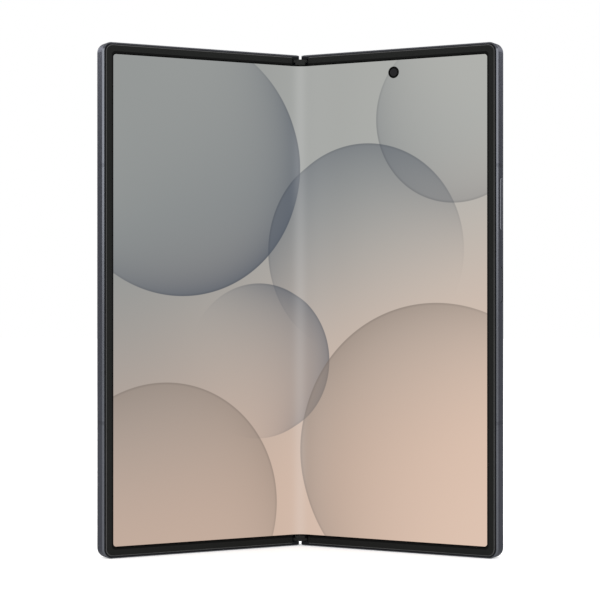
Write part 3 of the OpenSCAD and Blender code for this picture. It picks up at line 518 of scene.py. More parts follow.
# The second colour of each finish is the bevel's, partly a painted highlight
graphite = frame_metal("anodised_graphite", paint(48, 50, 56), paint(82, 84, 89))
antenna_grey = frame_metal("antenna_insert", paint(41, 43, 48), paint(72, 74, 79))
print("finishes:", graphite.name, antenna_grey.name)

# %% [markdown]
# The keys are of the same metal, and their softened edge gets a lighter colour, a painted highlight.
# Inside the hinge the steel is ground and the gears are sintered, which leaves a coarser surface.

# %% Metal of the keys
KEY_HIGHLIGHT_EDGE = (0.15, 0.45)


def key_metal(name, face_colour, edge_highlight):
    """The frame's metal for a key, with a painted highlight on the softened edge in front of its face."""
    material = grained(
        name,
        face_colour,
        size=BLASTED,
        spread=0.1,
        bump=0.2,
        Metallic=1.0,
        Roughness=0.36,
        Specular_Tint=DYED_TINT,
    )
    tree = material.node_tree
    shader = tree.nodes["Principled BSDF"]
    face = shader.inputs["Base Color"].links[0].from_socket
    # Painted highlight: the softened edge gets a lighter colour
    edge = ramp(tree, front_share(tree), *KEY_HIGHLIGHT_EDGE)
    tree.links.new(blend_colour(tree, edge, face, edge_highlight), shader.inputs["Base Color"])
    return material


# The second colour of each key is the painted highlight on its edge
rocker_metal = key_metal("rocker_metal", paint(56, 58, 63), paint(116, 118, 124))
button_metal = key_metal("button_metal", paint(53, 55, 60), paint(74, 76, 81))
print("finishes:", rocker_metal.name, button_metal.name)

# %% The other metals
# Name: colour, size, patches and depth of the grain, roughness
METALS = {
    "anodised_spine": (paint(58, 60, 66), BLASTED, 0.1, 0.25, 0.34),
    "ground_steel": (paint(176, 177, 180), 4000.0, 0.15, 0.3, 0.3),
    "sintered_gear": (paint(190, 158, 98), 6000.0, 0.25, 0.5, 0.38),
    "turned_ring": (paint(120, 122, 128), 5000.0, 0.1, 0.2, 0.22),
    "copper": (paint(196, 122, 82), 5000.0, 0.2, 0.3, 0.3),
    "gold_plate": (paint(222, 178, 92), 3000.0, 0.1, 0.1, 0.25),
}
metals = {}
for name, (*look, rough) in METALS.items():
    metals[name] = grained(name, *look, Metallic=1.0, Roughness=rough)
print("finishes:", *metals)

# %% [markdown]
# ## Plastics, glass and boards
# The bezel is matte black plastic. Its outer bevel has a sheen, made with a coat that only the
# bevel gets, and a lighter colour there is a painted highlight. A near black painted shade runs along
# the picture, where the gap beside the screen is dark. The plastics and boards inside are plainer,
# but each has its own grain, colour and gloss.

# %% Bezel
BEZEL_BEVEL = ((0.4, 0.6), (0.95, 0.8))
# The painted shade's border, in millimetres: below and above, at the fold and outside, and its corners
GAP_SHADE_INSET = 2.75
GAP_SHADE_U = (-10.0, 63.65)
GAP_SHADE_CORNER = 1.2


def bezel_plastic():
    """Matte black with a sheen and a painted highlight on its outer bevel, and a painted shade along the picture.
    """
    material = grained(
        "bezel_black",
        paint(29, 30, 29),
        size=7000.0,
        spread=0.2,
        bump=0.3,
        Roughness=0.55,
        Specular_IOR_Level=0.08,
        Coat_Roughness=0.25,
    )
    tree = material.node_tree
    front = front_share(tree)
    rise, fall = (ramp(tree, front, *span) for span in BEZEL_BEVEL)
    bevel = sum_of(tree, "MULTIPLY", rise, fall)
    shader = tree.nodes["Principled BSDF"]
    tree.links.new(bevel, shader.inputs["Coat Weight"])
    flat = shader.inputs["Base Color"].links[0].from_socket
    # Painted highlight: a lighter colour on the bevel
    colour = blend_colour(tree, bevel, flat, paint(48, 48, 48))
    parts = flat_parts(tree)
    low, high = (GAP_SHADE_U[0], GAP_SHADE_INSET), (GAP_SHADE_U[1], BODY_H / MM - GAP_SHADE_INSET)
    # Painted shade: near black along the picture, where the gap beside the screen is dark
    gap_shade = rounded_area(tree, parts, low, high, GAP_SHADE_CORNER)
    colour = blend_colour(tree, gap_shade, colour, paint(4, 4, 4))
    tree.links.new(colour, shader.inputs["Base Color"])
    return material


bezel_black = bezel_plastic()
print("finish:", bezel_black.name)

# %% Other plastics, glass and boards
# Name: colour, size, patches and depth of the grain, roughness, specular level
PLASTICS = {
    "module_black": (paint(30, 30, 32), 5000.0, 0.3, 0.4, 0.5, 0.5),
    "solder_mask": (paint(38, 88, 66), 3000.0, 0.4, 0.4, 0.35, 0.5),
    "pouch_foil": (paint(64, 66, 70), 1500.0, 0.3, 0.6, 0.4, 0.5),
    "satin_glass": (paint(34, 36, 42), 2500.0, 0.15, 0.12, 0.34, 0.25),
    "print_black": (paint(5, 5, 5), 5000.0, 0.1, 0.05, 0.45, 0.03),
    "smoky_glass": (paint(29, 28, 31), 3000.0, 0.2, 0.05, 0.12, 0.14),
    "soft_black": (paint(40, 41, 40), 2600.0, 0.35, 0.5, 0.7, 0.15),
}
plastics = {}
for name, (*look, rough, level) in PLASTICS.items():
    plastics[name] = grained(name, *look, Roughness=rough, Specular_IOR_Level=level)
print("finishes:", *plastics)

# %% [markdown]
# A fine woven mesh covers each speaker. Its threads are two sets of sine waves that cross, and the
# higher one lies on top, which the Maximum of the two gives.

# %% Woven mesh
# Radians of the sine in a millimetre, and the height of a thread
THREADS = 42.0
THREAD_DEPTH = 0.05 * MM


def woven():
    """Fine woven mesh: two sets of round threads that cross."""
    material, tree, shader = new_material(
        "woven_mesh", Base_Color=paint(34, 35, 37), Metallic=0.6, Roughness=0.5
    )
    parts = flat_parts(tree)
    threads = []
    for axis in ("X", "Y"):
        wave = sum_of(tree, "SINE", sum_of(tree, "MULTIPLY", parts[axis], THREADS))
        threads.append(sum_of(tree, "ABSOLUTE", wave))
    height = sum_of(tree, "MAXIMUM", *threads)
    bumped = add(tree, "ShaderNodeBump", Strength=0.8, Distance=THREAD_DEPTH)
    tree.links.new(height, bumped.inputs["Height"])
    tree.links.new(bumped.outputs["Normal"], shader.inputs["Normal"])
    return material


woven_mesh = woven()
print("finish:", woven_mesh.name)

# %% [markdown]
# The record of the part names a slot for each node, so one loop dresses nearly all of them. The
# back glass is etched, so it is satin. The cover glass, the camera windows and the flash have
# something printed at a place, and get their finish further down.

# %% Finishes of the nodes
FINISHES = {
    "frame": graphite,
    "spine": metals["anodised_spine"],
    "bezel": bezel_black,
    "display": plastics["module_black"],
    "hinge_steel": metals["ground_steel"],
    "gear_metal": metals["sintered_gear"],
    "antenna_plastic": antenna_grey,
    "outer_glass": plastics["satin_glass"],
    "ring_metal": metals["turned_ring"],
    "module_black": plastics["module_black"],
    "circuit_board": plastics["solder_mask"],
    "battery_foil": plastics["pouch_foil"],
    "copper": metals["copper"],
}
dressed = 0
for entry in frame["record"]["subparts"]:
    if entry["material_slot"] in FINISHES:
        wear(nodes[entry["node"]], FINISHES[entry["material_slot"]])
        dressed += 1
print("finished nodes:", dressed)

# %% [markdown]
# ## The flexible screen
# The real screen is one sheet that runs from half to half and curves in a shallow valley at the
# fold. Here each half's sheet is a plane with its inner edge spun about the valley's centre, up to
# the middle of the fold, where the two meet.

# %% Sizes of the screen
SCREEN_W = 0.1 * MM
SCREEN_T = 0.45 * MM
VALLEY_R = 5.4 * MM
VALLEY_STEPS = 24
FOLD_Z = (3.3 * MM, BODY_H - 3.3 * MM)
SHEET_Z = (2.3 * MM, BODY_H - 2.3 * MM)
BEZEL_U = 3.6 * MM
SHEET_U = 64.9 * MM
SHEET_R = 1.6 * MM
HOLE_U = 32.5 * MM
HOLE_Z = BODY_H - 7.25 * MM
HOLE_R = 1.8 * MM

front = RIGHT_PLACE @ Vector((0, SCREEN_W, 0))
VALLEY_Y = front.y + front.x * math.tan(FOLD) - VALLEY_R / math.cos(FOLD)
valley_end = Vector((VALLEY_R * math.sin(FOLD), VALLEY_Y + VALLEY_R * math.cos(FOLD), 0))
VALLEY_U = (RIGHT_PLACE.inverted() @ valley_end).x
print("valley from the middle to u", round(VALLEY_U / MM, 3), "mm")

# %% [markdown]
# New pieces are modelled as by hand, with operators in edit mode. An operator acts on all that is
# selected, so everything is deselected first, and vertices, edges or faces are then picked by their
# place. A finished piece's object stays at the origin, with its place in its mesh.

# %% Helpers for modelling
def start_piece(name):
    """Names the primitive that was just added and brings its place into its mesh."""
    piece = bpy.context.object
    piece.name = name
    piece.data.name = name
    bpy.ops.object.transform_apply(location=True, rotation=True, scale=True)
    return piece


def fresh():
    """Leaves edit mode and deselects everything, so that the next operator acts on one piece."""
    if bpy.context.mode != "OBJECT":
        bpy.ops.object.mode_set(mode="OBJECT")
    bpy.ops.object.select_all(action="DESELECT")


def edit(piece, kind="VERT"):
    """Opens a piece for modelling with nothing selected."""
    fresh()
    bpy.context.view_layer.objects.active = piece
    piece.select_set(True)
    bpy.ops.object.mode_set(mode="EDIT")
    bpy.ops.mesh.select_mode(type=kind)
    bpy.ops.mesh.select_all(action="DESELECT")


def pick(piece, test, kind="vertices"):
    """Selects the vertices, or edges or faces by their middle, whose place passes a test."""
    bpy.ops.object.mode_set(mode="OBJECT")
    points = piece.data.vertices
    for part in getattr(piece.data, kind):
        if kind == "vertices":
            middle = part.co
        else:
            middle = sum((points[i].co for i in part.vertices), Vector()) / len(part.vertices)
        part.select = bool(test(middle))
    bpy.ops.object.mode_set(mode="EDIT")


# %% Helpers for finishing
def apply_modifier(piece, kind, **values):
    """Adds a modifier, sets it and applies it."""
    fresh()
    bpy.context.view_layer.objects.active = piece
    piece.select_set(True)
    modifier = piece.modifiers.new(kind.lower(), kind)
    for name, value in values.items():
        setattr(modifier, name, value)
    bpy.ops.object.modifier_apply(modifier=modifier.name)


def copy_of(piece, name):
    """A copy with its own mesh."""
    twin = piece.copy()
    twin.data = piece.data.copy()
    twin.name = name
    twin.data.name = name
    bpy.context.scene.collection.objects.link(twin)
    return twin


def near(value, goal, reach=1e-6):
    """Whether two lengths in metres are the same."""
    return abs(value - goal) < reach


def smooth(piece, degrees=30):
    """Smooth shading, with crisp edges where two faces turn more than the angle."""
    fresh()
    bpy.context.view_layer.objects.active = piece
    piece.select_set(True)
    bpy.ops.object.shade_smooth_by_angle(angle=math.radians(degrees))


# %% [markdown]
# The sheet could be one plane bent with a modifier, but then its edge at the fold would be hard to
# place. Instead the flat part is cut to shape first and folded with its half, and its inner edge is
# spun about the valley's centre. The thickness comes last, away from the front surface.

# %% The screen's sheet
def model_screen():
    """The right half's sheet: its front surface, which gets its thickness after this."""
    fresh()
    middle_u = (VALLEY_U + SHEET_U) / 2
    bpy.ops.mesh.primitive_plane_add(
        size=1, location=(middle_u, SCREEN_W, BODY_H / 2), rotation=(math.radians(90), 0, 0)
    )
    bpy.context.object.scale = (SHEET_U - VALLEY_U, SHEET_Z[1] - SHEET_Z[0], 1)
    sheet = start_piece("screen_right")
    edit(sheet)
    pick(sheet, lambda place: near(place.x, SHEET_U))
    bpy.ops.mesh.bevel(offset=SHEET_R, segments=8, affect="VERTICES")
    for level in FOLD_Z:
        bpy.ops.mesh.select_all(action="SELECT")
        bpy.ops.mesh.bisect(plane_co=(0, 0, level), plane_no=(0, 0, 1))
    bpy.ops.mesh.select_all(action="SELECT")
    bpy.ops.mesh.bisect(plane_co=(BEZEL_U, 0, 0), plane_no=(1, 0, 0))
    bpy.ops.mesh.select_mode(type="FACE")
    pick(
        sheet,
        lambda place: place.x < BEZEL_U and not FOLD_Z[0] < place.z < FOLD_Z[1],
        "polygons",
    )
    bpy.ops.mesh.delete(type="FACE")
    bpy.ops.object.mode_set(mode="OBJECT")
    seat(sheet, "right")
    edit(sheet, "EDGE")
    pick(sheet, lambda place: near(place.x, valley_end.x) and near(place.y, valley_end.y), "edges")
    bpy.ops.mesh.spin(
        steps=VALLEY_STEPS, angle=-FOLD, center=(0, VALLEY_Y, 0), axis=(0, 0, 1)
    )
    bpy.ops.mesh.select_all(action="SELECT")
    bpy.ops.mesh.remove_doubles(threshold=1e-7)
    bpy.ops.mesh.normals_make_consistent(inside=False)
    bpy.ops.object.mode_set(mode="OBJECT")
    if sum(face.normal.y * face.area for face in sheet.data.polygons) > 0:
        sheet.data.flip_normals()
    return sheet


# %% Both sheets
screen_right = model_screen()
lows = [min(vertex.co[axis] for vertex in screen_right.data.vertices) for axis in range(3)]
print("screen sheet from", [round(low / MM, 3) for low in lows], "mm")
apply_modifier(screen_right, "SOLIDIFY", thickness=SCREEN_T, offset=-1)
screen_left = copy_of(screen_right, "screen_left")
screen_left.data.transform(MIRROR)
screen_left.data.flip_normals()

# %% [markdown]
# The hole of the inner camera is cut by a round bar that is folded with the half. A round hole in a
# thin sheet is what Boolean is good at, with the exact solver for a clean rim.

# %% The hole of the inner camera
CUTTER_L = 4 * MM

fresh()
bpy.ops.mesh.primitive_cylinder_add(
    vertices=64,
    radius=HOLE_R,
    depth=CUTTER_L,
    location=(HOLE_U, 0, HOLE_Z),
    rotation=(math.radians(90), 0, 0),
)
cutter = start_piece("hole_cutter")
seat(cutter, "right")
apply_modifier(screen_right, "BOOLEAN", object=cutter, operation="DIFFERENCE", solver="EXACT")
bpy.data.objects.remove(cutter)
for sheet in (screen_right, screen_left):
    smooth(sheet, degrees=20)
print("screen faces:", len(screen_right.data.polygons), len(screen_left.data.polygons))

# %% [markdown]
# The picture has to bend with the screen, so it is placed by a UV map that counts millimetres along
# the surface: round the valley first, then straight on over the flat part.

# %% Map of the sheets
SHEET_MAP = "along_sheet"
MAP_SIZE = 200 * MM


def map_sheet(sheet):
    """A UV map that counts along the bent surface, so that the picture bends with the screen."""
    layer = sheet.data.uv_layers.new(name=SHEET_MAP)
    to_flat = RIGHT_PLACE.inverted()
    for loop in sheet.data.loops:
        place = sheet.data.vertices[loop.vertex_index].co
        flat = to_flat @ Vector((abs(place.x), place.y, place.z))
        if flat.x > VALLEY_U:
            along = VALLEY_R * FOLD + flat.x - VALLEY_U
        else:
            along = VALLEY_R * math.atan2(abs(place.x), place.y - VALLEY_Y)
        across = 0.5 + math.copysign(along, place.x) / MAP_SIZE
        layer.data[loop.index].uv = (across, place.z / MAP_SIZE)


for sheet in (screen_right, screen_left):
    map_sheet(sheet)
print("map", SHEET_MAP, "is", MAP_SIZE, "m wide")

# %% [markdown]
# The picture on the screen is light, so it goes into the emission. It is a plain design of large
# see-through discs over a wash from grey to peach. A disc is darkest just inside its rim and fades
# towards its far side, which makes it look like a sheet of tinted film. One group draws a disc,
# and the picture places it several times.

# %% One disc of the picture
EULER = 2.718
RIM_EDGE = (-0.1, 0.15)
RIM_INSIDE = (0.9, 0.1)
FADE_SPAN = (-0.9, 1.0)
HOLLOW, BODY = 0.62, 0.38


def make_disc():
    """One disc: how dark it is at a place, and the thin line along its rim."""
    group, start, end = new_group(
        "film_disc",
        [
            ("Place", "Vector"),
            ("Centre", "Vector"),
            ("Radius", "Float"),
            ("Fade", "Vector"),
            ("Depth", "Float"),
        ],
        [("Shade", "Float"), ("Rim", "Float")],
    )
    offset = add(group, "ShaderNodeVectorMath", operation="SUBTRACT")
    group.links.new(start["Place"], offset.inputs[0])
    group.links.new(start["Centre"], offset.inputs[1])
    length = add(group, "ShaderNodeVectorMath", operation="LENGTH")
    group.links.new(offset.outputs[0], length.inputs[0])
    inside = sum_of(group, "SUBTRACT", start["Radius"], length.outputs["Value"])
    crisp = ramp(group, inside, *RIM_EDGE)
    along = add(group, "ShaderNodeVectorMath", operation="DOT_PRODUCT")
    group.links.new(offset.outputs[0], along.inputs[0])
    group.links.new(start["Fade"], along.inputs[1])
    share = sum_of(group, "DIVIDE", along.outputs["Value"], start["Radius"])
    fade = ramp(group, share, *FADE_SPAN, kind="SMOOTHERSTEP")
    inset = sum_of(group, "DIVIDE", inside, start["Depth"])
    hollow = sum_of(group, "POWER", EULER, sum_of(group, "MULTIPLY", inset, -1.0))
    body = sum_of(group, "MULTIPLY_ADD", hollow, HOLLOW, BODY)
    lit = sum_of(group, "MULTIPLY", body, fade)
    group.links.new(sum_of(group, "MULTIPLY", lit, crisp), end["Shade"])
    rim = sum_of(group, "MULTIPLY", ramp(group, inside, *RIM_INSIDE), crisp)
    group.links.new(sum_of(group, "MULTIPLY", rim, fade), end["Rim"])
    return group


FILM_DISC = make_disc()
print("group", FILM_DISC.name)

# %% [markdown]
# The crease catches a little light along its length. Two bell curves across the fold give it: a
# narrow one on the crease, and a wide weak one on the sheet beside it.

# %% Light on the crease
# Middle, width and strength of each band, in millimetres across the fold
CREASE_BANDS = ((-0.1, 1.9, 0.085), (5.0, 6.0, 0.025))


def crease_light(tree, parts, colour):
    """The crease catches light in a narrow soft band, and the sheet beside it a little."""
    for middle, width, strength in CREASE_BANDS:
        offset = sum_of(tree, "SUBTRACT", parts["X"], middle)
        bell = sum_of(tree, "POWER", sum_of(tree, "DIVIDE", offset, width), 2.0)
        bell = sum_of(tree, "POWER", EULER, sum_of(tree, "MULTIPLY", bell, -1.0))
        amount = sum_of(tree, "MULTIPLY", bell, strength)
        colour = blend_colour(tree, amount, colour, (1, 1, 1, 1))
    return colour


# %% [markdown]
# The wash is a blend from left to right in two rows, and the rows blend from top to bottom, a
# little tilted. The discs lie over it, then the light of the crease, and at last a mask keeps the
# black border. The sheet's own faint reflection is taken off, so that the colours come out.

# %% Sizes and colours of the picture
SHEEN = 0.003
PICTURE_HALF = 63.0
PICTURE_Z = (3.6, 149.9)
PICTURE_R = 0.9
WINDOW_U = PICTURE_HALF - (VALLEY_U - VALLEY_R * FOLD) / MM
WARM_Z = (118.0, 12.0)
WARM_TILT = -0.28
RIM_LINE = 0.18
RIM_INK = (0.02, 0.02, 0.025, 1)
# Each row is brighter on the right: partly the picture's own colours, partly a painted reflection
TOP_LEFT = paint(149, 152, 151)
TOP_RIGHT = paint(176, 177, 173)
LOW_LEFT = paint(196, 173, 158)
LOW_RIGHT = paint(222, 195, 177)
COOL_FILM = paint(84, 92, 104)
WARM_FILM = paint(138, 124, 114)
# Centre (x, z), radius, direction of the dark side, depth of the rim's shade, tint and strength
DISCS = [
    ((-40.0, 118.0), 40.0, (0.75, -0.66), 9.0, COOL_FILM, 0.85),
    ((22.0, 92.0), 33.0, (-0.35, 0.94), 14.0, COOL_FILM, 0.62),
    ((-14.0, 58.0), 24.0, (0.94, 0.34), 8.0, COOL_FILM, 0.7),
    ((46.0, 30.0), 46.0, (-0.80, 0.60), 11.0, WARM_FILM, 0.62),
    ((-46.0, 14.0), 38.0, (0.50, 0.87), 12.0, WARM_FILM, 0.55),
    ((52.0, 132.0), 26.0, (-0.60, -0.80), 8.0, COOL_FILM, 0.35),
]


# %% Drawing the picture
def draw_picture():
    """The lit screen: a glossy black sheet that gives off the picture's light."""
    material, tree, shader = new_material(
        "lit_screen",
        Base_Color=(0.001, 0.001, 0.001, 1),
        Roughness=0.12,
        Specular_IOR_Level=0.03,
        Emission_Strength=1.0,
    )
    surface = add(tree, "ShaderNodeUVMap", uv_map=SHEET_MAP)
    spread = add(tree, "ShaderNodeMapping")
    spread.inputs["Location"].default_value = (-MAP_SIZE / MM / 2, 0, 0)
    spread.inputs["Rotation"].default_value = (math.radians(90), 0, 0)
    spread.inputs["Scale"].default_value = (MAP_SIZE / MM, MAP_SIZE / MM, 1)
    tree.links.new(surface.outputs["UV"], spread.inputs["Vector"])
    place = spread.outputs["Vector"]
    split = add(tree, "ShaderNodeSeparateXYZ")
    tree.links.new(place, split.inputs[0])
    parts = split.outputs
    across = ramp(tree, parts["X"], -PICTURE_HALF, PICTURE_HALF)
    upper = blend_colour(tree, across, TOP_LEFT, TOP_RIGHT)
    lower = blend_colour(tree, across, LOW_LEFT, LOW_RIGHT)
    tilt = sum_of(tree, "MULTIPLY_ADD", parts["X"], WARM_TILT, parts["Z"])
    colour = blend_colour(tree, ramp(tree, tilt, *WARM_Z), upper, lower)
    for centre, radius, dark_side, depth, tint, strength in DISCS:
        disc = use_group(tree, FILM_DISC, Radius=radius, Depth=depth)
        disc.inputs["Centre"].default_value = (centre[0], 0, centre[1])
        disc.inputs["Fade"].default_value = (dark_side[0], 0, dark_side[1])
        tree.links.new(place, disc.inputs["Place"])
        amount = sum_of(tree, "MULTIPLY", disc.outputs["Shade"], strength)
        colour = blend_colour(tree, amount, colour, tint)
        line = sum_of(tree, "MULTIPLY", disc.outputs["Rim"], RIM_LINE)
        colour = blend_colour(tree, line, colour, RIM_INK)
    colour = crease_light(tree, parts, colour)
    shown = blend_colour(tree, 1.0, colour, (SHEEN, SHEEN, SHEEN, 1), "SUBTRACT")
    low, high = (-WINDOW_U, PICTURE_Z[0]), (WINDOW_U, PICTURE_Z[1])
    window = rounded_area(tree, parts, low, high, PICTURE_R)
    lit = blend_colour(tree, window, (0, 0, 0, 1), shown)
    tree.links.new(lit, shader.inputs["Emission Color"])
    return material


lit_screen = draw_picture()
for sheet in (screen_right, screen_left):
    wear(sheet, lit_screen)
print("discs in the picture:", len(DISCS))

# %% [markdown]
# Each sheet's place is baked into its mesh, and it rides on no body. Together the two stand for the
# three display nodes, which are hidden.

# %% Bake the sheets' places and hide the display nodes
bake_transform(screen_right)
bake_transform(screen_left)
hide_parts("inner_display_right", "inner_display_fold")
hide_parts("inner_display_left", "inner_display_fold")

# %% [markdown]
# ## Cameras
# A camera looks deep because its glass is clear in the middle, with a black print around it.
# Behind it the barrel steps inwards to a domed lens, whose coating reflects violet.

# %% Places on the halves, in millimetres
CAMERA_U = 54.3
CAMERA_Z = (137.5, 123.5, 109.5)
FLASH_U = 42.05
FLASH_Z = 137.5
INNER_U = HOLE_U / MM
INNER_Z = HOLE_Z / MM
COVER_U = 35.0
COVER_Z = BODY_H / MM - 7.5
SOCKET_U = 33.5
SOCKET_W = 3.3
print("cameras at u", CAMERA_U, "z", CAMERA_Z, "mm")

# %% Glass of the cameras
CLEAR_R = (3.55, 3.6)
LEAST_ALPHA = 0.06


def camera_window():
    """Clear in the middle of each camera and printed black around it."""
    material, tree, shader = new_material(
        "camera_window",
        Base_Color=(0.003, 0.003, 0.004, 1),
        Roughness=0.03,
        Specular_IOR_Level=0.45,
    )
    parts = flat_parts(tree)
    reach = 100.0
    for level in CAMERA_Z:
        reach = sum_of(tree, "MINIMUM", distance_from(tree, parts, CAMERA_U, level), reach)
    shown = ramp(tree, reach, *CLEAR_R)
    tree.links.new(sum_of(tree, "MAXIMUM", shown, LEAST_ALPHA), shader.inputs["Alpha"])
    return material


def coated_glass(name, colour):
    """Dark glass whose coating reflects one colour."""
    return new_material(
        name,
        Base_Color=(0.004, 0.004, 0.008, 1),
        Roughness=0.04,
        Specular_IOR_Level=0.9,
        Specular_Tint=colour,
        Coat_Weight=0.3,
        Coat_Roughness=0.02,
    )[0]


violet_glass = coated_glass("violet_coated_lens", paint(120, 96, 220))
wear(nodes["camera_lenses"], camera_window())
print("finish:", violet_glass.name)

# %% [markdown]
# A round piece is turned as on a lathe: a disc is extruded step by step and its face is resized to
# the next radius of a profile. A dome's profile comes from the circle that passes through its rim.

# %% Turning a round piece
THIN_WALL = 0.03 * MM


def round_piece(name, profile, u, z, vertices=64):
    """A solid of revolution across the flat half, from pairs (radius, w) up to its top face."""
    fresh()
    first_r, first_w = profile[0]
    bpy.ops.mesh.primitive_circle_add(
        vertices=vertices,
        radius=first_r * MM,
        fill_type="NGON",
        location=(u * MM, first_w * MM, z * MM),
        rotation=(math.radians(-90), 0, 0),
    )
    piece = start_piece(name)
    edit(piece, "FACE")
    bpy.ops.mesh.select_all(action="SELECT")
    last_r, last_w = first_r, first_w
    for radius, w in profile[1:]:
        step = (0, (w - last_w) * MM, 0)
        bpy.ops.mesh.extrude_region_move(TRANSFORM_OT_translate={"value": step})
        share = radius / last_r
        centre = (u * MM, w * MM, z * MM)
        bpy.ops.transform.resize(value=(share, 1, share), center_override=centre)
        last_r, last_w = radius, w
    bpy.ops.mesh.select_all(action="SELECT")
    bpy.ops.mesh.normals_make_consistent(inside=False)
    bpy.ops.object.mode_set(mode="OBJECT")
    return piece


def open_top(piece, radius):
    """Takes away the flat faces inside a radius, and gives what is left a thin wall."""
    axis = sum((vertex.co for vertex in piece.data.vertices), Vector()) / len(piece.data.vertices)
    edit(piece, "FACE")
    pick(
        piece,
        lambda place: math.hypot(place.x - axis.x, place.z - axis.z) < radius * MM / 2,
        "polygons",
    )
    bpy.ops.mesh.delete(type="FACE")
    bpy.ops.object.mode_set(mode="OBJECT")
    apply_modifier(piece, "SOLIDIFY", thickness=THIN_WALL, offset=-1)
    return piece


# %% Domes, and finishing a piece
DOME_END = 0.02


def dome(radius, w, rise, steps=8):
    """Profile of a lens that bulges from (radius, w) by rise, ending near its axis."""
    sphere_r = (radius**2 + rise**2) / (2 * rise)
    centre_w = w + rise - sphere_r
    points = []
    for step in range(steps + 1):
        reach = radius * (1 - step / steps) + DOME_END
        points.append((reach, centre_w + math.sqrt(max(sphere_r**2 - reach**2, 0))))
    return points


def finish_piece(piece, side, body, material, degrees=30):
    """Folds a flat piece, shades it and lets it ride on its body."""
    seat(piece, side)
    smooth(piece, degrees)
    wear(piece, material)
    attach(piece, body)


# %% Lenses behind the windows
# Profiles as radius and depth from the front, and the dome's rise
LENS_FOOT = [(1.95, 5.22), (1.95, 5.4)]
LENS_DOME = (1.8, 5.4, 0.62)
FUNNEL = [(3.45, 6.0), (3.45, 6.34), (3.2, 6.34), (2.72, 6.02)]
FUNNEL_MOUTH = 2.8

for number, level in enumerate(CAMERA_Z, start=1):
    front_lens = round_piece(
        f"front_lens_{number}", [*LENS_FOOT, *dome(*LENS_DOME)], CAMERA_U, level
    )
    finish_piece(front_lens, "right", "right_half", violet_glass)
    funnel = round_piece(f"lens_funnel_{number}", FUNNEL, CAMERA_U, level)
    funnel = open_top(funnel, FUNNEL_MOUTH)
    finish_piece(funnel, "right", "right_half", plastics["module_black"])
print("rear lenses:", len(CAMERA_Z))

# %% [markdown]
# The flash is a clear window with fine round ribs over two warm lamps. The ribs are a sine wave of
# the distance from its middle, as a bump, since they are far thinner than the window.

# %% Flash window
# The lamps' distance from the middle, their half width and half height as soft edges, the
# window's dark rim, and the ribs' radians in a millimetre and height
LAMP_OFFSET = 0.75
LAMP_U = (0.85, 0.75)
LAMP_Z = (0.6, 0.5)
RIM_R = (1.8, 1.95)
RIBS = 22.0
RIB_DEPTH = 0.05 * MM


def ribbed_window():
    """Clear plastic with fine round ribs over two warm lamps."""
    material, tree, shader = new_material("ribbed_window", Roughness=0.18)
    parts = flat_parts(tree)
    reach = distance_from(tree, parts, FLASH_U, FLASH_Z)
    aside = sum_of(tree, "ABSOLUTE", sum_of(tree, "SUBTRACT", parts["X"], FLASH_U))
    above = sum_of(tree, "ABSOLUTE", sum_of(tree, "SUBTRACT", parts["Z"], FLASH_Z))
    from_lamp = sum_of(tree, "ABSOLUTE", sum_of(tree, "SUBTRACT", above, LAMP_OFFSET))
    lamp = sum_of(
        tree, "MULTIPLY", ramp(tree, aside, *LAMP_U), ramp(tree, from_lamp, *LAMP_Z)
    )
    colour = blend_colour(tree, lamp, paint(186, 186, 182), paint(236, 208, 96))
    colour = blend_colour(tree, ramp(tree, reach, *RIM_R), colour, paint(60, 61, 64))
    tree.links.new(colour, shader.inputs["Base Color"])
    ribs = sum_of(tree, "SINE", sum_of(tree, "MULTIPLY", reach, RIBS))
    bumped = add(tree, "ShaderNodeBump", Strength=0.6, Distance=RIB_DEPTH)
    tree.links.new(ribs, bumped.inputs["Height"])
    tree.links.new(bumped.outputs["Normal"], shader.inputs["Normal"])
    return material


wear(nodes["flash_lens"], ribbed_window())
print("flash at u", FLASH_U, "z", FLASH_Z, "mm")

# %% [markdown]
# The cover screen is off, so only its edges show: the panel is a dark grey inside the black print
# behind the glass, and the small camera is a ring and a lens drawn on the glass in a black spot.

# %% Cover screen
PANEL_LOW = (6.2, 2.6)
PANEL_HIGH = (63.6, BODY_H / MM - 2.6)
PANEL_CORNER = 2.2
# Radii at the cover camera, each as a soft edge
SPOT_R = (2.0, 2.05)
RING_IN, RING_OUT = (0.85, 0.9), (1.25, 1.2)
COVER_LENS_R = (0.85, 0.3)


def cover_pane():
    """The cover screen is off: a dark grey panel inside a black print, with a small camera."""
    material, tree, shader = new_material(
        "cover_pane", Roughness=0.06, Specular_IOR_Level=0.4, Coat_Roughness=0.03
    )
    parts = flat_parts(tree)
    panel = rounded_area(tree, parts, PANEL_LOW, PANEL_HIGH, PANEL_CORNER)
    reach = distance_from(tree, parts, COVER_U, COVER_Z)
    panel = sum_of(tree, "MULTIPLY", panel, ramp(tree, reach, *SPOT_R))
    colour = blend_colour(tree, panel, paint(6, 6, 7), paint(26, 27, 30))
    ring = sum_of(
        tree, "MULTIPLY", ramp(tree, reach, *RING_IN), ramp(tree, reach, *RING_OUT)
    )
    colour = blend_colour(tree, ring, colour, paint(52, 54, 60))
    # The lens's violet is a painted reflection of its coating
    lens = ramp(tree, reach, *COVER_LENS_R)
    colour = blend_colour(tree, lens, colour, paint(30, 26, 58))
    tree.links.new(colour, shader.inputs["Base Color"])
    return material


wear(nodes["cover_glass"], cover_pane())
print("cover panel from", PANEL_LOW, "to", [round(edge, 2) for edge in PANEL_HIGH], "mm")

# %% [markdown]
# ## The inner camera
# In the photograph the hole in the screen shows a black ring around a dark grey lens. The ring is a
# shallow funnel and the lens a dome just behind the screen's surface.

# %% Ring and lens of the inner camera
RING = [(1.78, 0.3), (1.78, 0.13), (1.45, 0.13), (1.14, 0.17)]
LENS_R, LENS_W = 1.1, 0.17
LENS_RISE = 0.06
LENS_RIM = (1.16, 0.16)
MIRROR_W = 0.32

